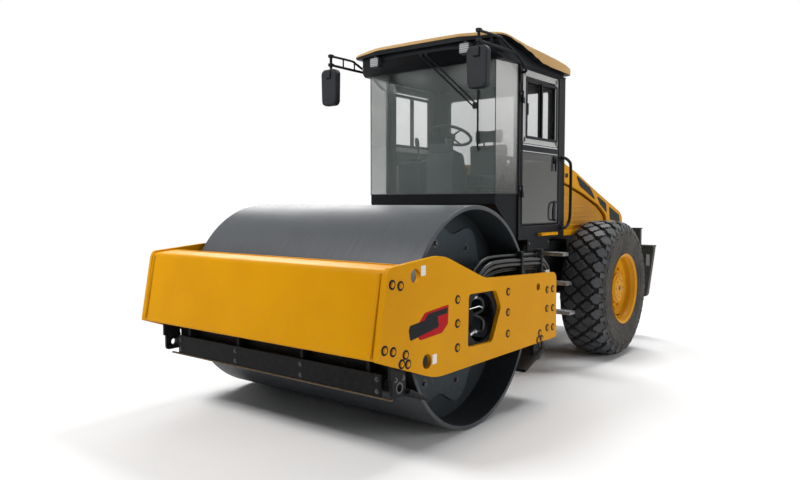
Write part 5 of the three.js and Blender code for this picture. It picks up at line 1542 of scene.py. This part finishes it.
# counterweight: lamps, reflectors, tow pin, seam
def dressWeight():
    shape = Shape()
    for s in (1, -1):
        for k in range(3):
            shape.finish = k + 1
            low = 1.056 + 0.054 * k
            lens = panel(s * 0.760 - 0.040, low, s * 0.760 + 0.040, low + 0.046, 0.008)
            shape.prism("y", lens, 4.0495, 4.0560, 0.002)
        shape.finish = 3
        shape.box((s * 0.885, 3.9855, 0.800), (s * 0.925, 3.9905, 0.930), 0.002)
        shape.finish = 1
        shape.box((s * 0.800, 4.0595, 0.840), (s * 0.900, 4.0650, 0.880), 0.002)
        shape.finish = 0
        shape.box((s * 0.700, 4.000, 1.218), (s * 0.820, 4.060, 1.228), 0.003)
    shape.box((-0.090, 4.058, 0.560), (-0.050, 4.090, 0.680), 0.005)
    shape.box((0.050, 4.058, 0.560), (0.090, 4.090, 0.680), 0.005)
    shape.finish = 4
    shape.disc("z", (0, 4.076, 0), 0.012, 0.540, 0.700, 24, 0.002)
    finishes = [blackPaint, redLens, amberLens, whiteLens, brightSteel]
    shape.piece("weightTrim", "rear_chassis", finishes)
    places = [((x, 4.0600, z), (0, 1, 0)) for x in (-0.52, -0.18, 0.18, 0.52) for z in (0.52, 0.96)]
    boltPiece("weightBolts", places, "rear_chassis", boltSteel, 0.020, 0.014, 0.032)


dressWeight()
print("hood and counterweight dressed")


# steering wheel, built about Z and leaned back with its column
wheelMake = {"centre": (0, 1.294, 2.122), "radius": 0.1805, "rim": 0.0135, "lean": 0.42, "knob": 2.4}


def makeSteeringWheel():
    w = wheelMake
    shape = Shape()
    turns = [2 * math.pi * i / 72 for i in range(72)]
    circle = [Vector((w["radius"] * math.cos(a), w["radius"] * math.sin(a), 0)) for a in turns]
    shape.tube(circle, w["rim"], 16, closed=True)
    shape.disc("z", (0, 0, 0), 0.040, -0.034, 0.006, 40, 0.006)
    for k in range(3):
        a = 2 * math.pi * k / 3 + math.pi / 2
        out = Vector((math.cos(a), math.sin(a), 0))
        path = [out * 0.030 + Vector((0, 0, -0.010)), out * 0.09 + Vector((0, 0, -0.008)), out * 0.172]
        shape.tube(smoothPath(path, 5), 0.0085, 12)
    shape.finish = 1
    shape.disc("z", (0, 0, 0), 0.028, 0.005, 0.012, 36, 0.004)
    knob = Vector((w["radius"] * math.cos(w["knob"]), w["radius"] * math.sin(w["knob"]), 0))
    shape.disc("z", knob, 0.008, 0.010, 0.030, 16, 0.001)
    shape.disc("z", knob, 0.020, 0.028, 0.052, 24, 0.008)
    shape.moved(Matrix.Translation(w["centre"]) @ Matrix.Rotation(-w["lean"], 4, "X"))
    finishes = [sealRubber, trimPlastic]
    shape.piece("steeringWheel", "steering_wheel", finishes, ["steering_wheel"])


makeSteeringWheel()


# console gauges and side console controls
def dressConsoles():
    gauges = Shape()
    gauges.box((-0.105, -0.065, -0.006), (0.105, 0.060, 0.010), 0.004)
    for x, r in ((-0.062, 0.026), (0.0, 0.030), (0.062, 0.026)):
        gauges.finish = 1
        gauges.turned("z", [(0.009, r), (0.015, r), (0.015, r - 0.004), (0.009, r - 0.004)], (x, 0, 0), 36)
        gauges.finish = 2
        gauges.disc("z", (x, 0, 0), r - 0.004, 0.008, 0.011, 36)
        gauges.finish = 3
        gauges.box((x - 0.0012, -0.001, 0.011), (x + 0.0012, r - 0.010, 0.0125))
    shape = Shape()
    shape.bm.from_mesh(gauges.mesh("gauges"))
    shape.moved(Matrix.Translation((0.01, 1.190, 1.966)) @ Matrix.Rotation(-0.20, 4, "X"))
    shape.box((-0.115, 1.100, 1.955), (0.135, 1.128, 2.035), 0.012)
    shape.finish = 0
    x = -0.490
    shape.box((x - 0.085, 1.520, 1.905), (x + 0.085, 1.900, 1.935), 0.014, 3)
    leverX = x + 0.02
    boot = [(1.925, 0), (1.925, 0.036), (1.955, 0.024), (1.975, 0.012), (1.975, 0)]
    shape.turned("z", boot, (leverX, 1.440, 0), 32)
    stem = [(leverX, y, z) for y, z in ((1.440, 1.965), (1.432, 2.02), (1.418, 2.07))]
    shape.tube(smoothPath(stem, 5), 0.008, 12)
    grip = [(leverX, y, z) for y, z in ((1.424, 2.045), (1.416, 2.075), (1.408, 2.110), (1.402, 2.135))]
    swell = [0.014 + 0.008 * math.sin(math.pi * min(1, i / 11)) for i in range(13)]
    shape.tube(smoothPath(grip, 4), swell, 16)
    for i in range(2):
        for k in range(4):
            shape.finish = 3 if (i, k) == (0, 0) else 0
            px, py = x - 0.06 + 0.034 * k, 1.500 - 0.040 * i - 0.09
            shape.box((px, py, 1.905), (px + 0.022, py + 0.028, 1.940), 0.003)
    shape.piece("consoleTrim", "rear_chassis", [trimPlastic, brightSteel, cabBlack, redPaint])
    seatParts = Shape()
    for s in (1, -1):
        seatParts.box((s * 0.262, 1.600, 1.915), (s * 0.312, 1.900, 1.955), 0.016, 3)
        seatParts.box((s * 0.268, 1.880, 1.840), (s * 0.300, 1.945, 1.950), 0.010)
        seatParts.box((s * 0.222, 1.905, 1.830), (s * 0.300, 1.935, 1.865), 0.006)
        seatParts.tube([(s * 0.055, 1.962, 2.070), (s * 0.055, 1.962, 2.170)], 0.007, 12)
    for k in range(5):  # folds of the bellows under the seat
        z = 1.372 + 0.052 * k
        seatParts.box((-0.190, 1.490, z), (0.190, 1.880, z + 0.034), 0.014)
    seatParts.finish = 1
    seatParts.box((-0.232, 1.440, 1.640), (0.232, 1.890, 1.656), 0.005)
    seatParts.box((0.228, 1.780, 1.660), (0.252, 1.812, 1.790), 0.004)
    seatParts.piece("seatFrame", "rear_chassis", [trimPlastic, blackPaint])


dressConsoles()

# foam pads, blown up a little as cloth, then closed with seams
padMake = {  # the pad's box, its rounding, how far the cloth may swell, and its filling
    "seatCushion": ((-0.226, 1.434, 1.672), (0.226, 1.886, 1.764), 0.040, 0.014, 0.75),
    "seatBack": ((-0.214, 1.914, 1.700), (0.214, 1.994, 2.090), 0.036, 0.014, 0.75),
    "headrest": ((-0.150, 1.930, 2.096), (0.150, 1.990, 2.228), 0.029, 0.010, 0.8),
}


def lifted(obj):  # the mesh as its modifiers leave it
    bpy.context.view_layer.update()
    seen = obj.evaluated_get(bpy.context.evaluated_depsgraph_get())
    return bpy.data.meshes.new_from_object(seen)


def makePad(name, replaces):
    low, high, soft, swell, fill = padMake[name]
    raw = Shape()
    raw.box(low, high, soft, 4)
    holder = bpy.data.objects.new("raw", raw.mesh("raw"))
    bpy.context.scene.collection.objects.link(holder)
    fine = holder.modifiers.new("fine", "REMESH")
    fine.mode = "VOXEL"
    fine.voxel_size = 0.006
    mesh = lifted(holder)
    holder.modifiers.clear()
    holder.data = mesh
    start = [v.co.copy() for v in mesh.vertices]
    cloth = holder.modifiers.new("cloth", "CLOTH")
    cloth.settings.use_pressure = True
    cloth.settings.uniform_pressure_force = 4
    cloth.settings.effector_weights.gravity = 0
    for frame in range(1, 21):
        bpy.context.scene.frame_set(frame)
    moved = lifted(holder)
    holder.modifiers.clear()
    for before, vert, after in zip(start, mesh.vertices, moved.vertices):
        step = after.co - before
        if step.length > swell:
            step = step.normalized() * swell
        vert.co = before + step
    bpy.context.scene.frame_set(1)
    bpy.data.objects.remove(holder)
    for face in mesh.polygons:
        face.use_smooth = True
    tree = BVHTree.FromPolygons([v.co.copy() for v in mesh.vertices], [f.vertices[:] for f in mesh.polygons])
    pad = settle(name, mesh, "rear_chassis", [seatCloth], replaces, weighted=False)
    smooth = pad.modifiers.new("smooth", "SUBSURF")
    smooth.levels = smooth.render_levels = 1
    return tree


# a thread laid on the pad's surface, found by looking along one direction
def seam(shape, tree, path, way, radius=0.0022):
    way = Vector(way)
    points = []
    for p in path:
        hit = tree.ray_cast(Vector(p) - way * 0.3, way)[0]
        if hit:
            points.append(hit - way * radius * 0.4)
    if len(points) > 2:
        shape.tube(points, radius, 8)


def makeSeat():
    cushion = makePad("seatCushion", ["seat_cushion"])
    back = makePad("seatBack", ["seat_back"])
    rest = makePad("headrest", ["seat_back"])
    seams = Shape()
    steps = [i / 40 for i in range(41)]
    for x in (-0.135, 0.135):
        seam(seams, cushion, [(x, 1.450 + 0.42 * t, 1.72) for t in steps], (0, 0, -1))
        seam(seams, back, [(x, 1.95, 1.715 + 0.36 * t) for t in steps], (0, 1, 0))
    for y in (1.56, 1.68, 1.80):
        seam(seams, cushion, [(-0.130 + 0.26 * t, y, 1.72) for t in steps], (0, 0, -1), 0.0016)
    for z in (1.82, 1.93, 2.03):
        seam(seams, back, [(-0.130 + 0.26 * t, 1.95, z) for t in steps], (0, 1, 0), 0.0016)
    seam(seams, rest, [(-0.110 + 0.22 * t, 1.96, 2.172) for t in steps], (0, 1, 0), 0.0016)
    seams.piece("seatSeams", "rear_chassis", [sealRubber], weighted=False)


makeSeat()


# steering cylinders: a gland ring at the rod's end, two ports and their elbows on the barrel
cylinderMake = {"tail": (0.310, 1.930), "eye": (0.240, 1.300), "z": 0.755, "barrel": 0.0375}


def dressCylinders():
    c = cylinderMake
    for name, side in sides:
        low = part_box(f"steering_cylinder_{name}")[0]
        tail = Vector((side * c["tail"][0], c["tail"][1], c["z"]))
        along = (Vector((side * c["eye"][0], c["eye"][1], c["z"])) - tail).normalized()
        reach = (low.y - drumY - tail.y) / along.y  # as far as the barrel's front end
        shape = Shape()
        for at, wide in ((reach - 0.040, 0.004), (reach - 0.012, 0.003)):
            shape.tube([tail + along * at, tail + along * (at + 0.010)], c["barrel"] + wide, 32)
        shape.finish = 1
        for at in (0.110, reach - 0.070):
            port = tail + along * at + Vector((0, 0, c["barrel"] - 0.004))
            shape.disc("z", (port.x, port.y, 0), 0.013, port.z, port.z + 0.020, 24, 0.002)
            shape.disc("z", (port.x, port.y, 0), 0.011, port.z + 0.018, port.z + 0.034, 6, 0.001)
        finishes = [blackPaint, boltSteel]
        shape.piece(f"cylinder{name.title()}Ports", f"cylinder_{name}", finishes)


dressCylinders()
print("inside of the cab made")


bpy.context.view_layer.update()
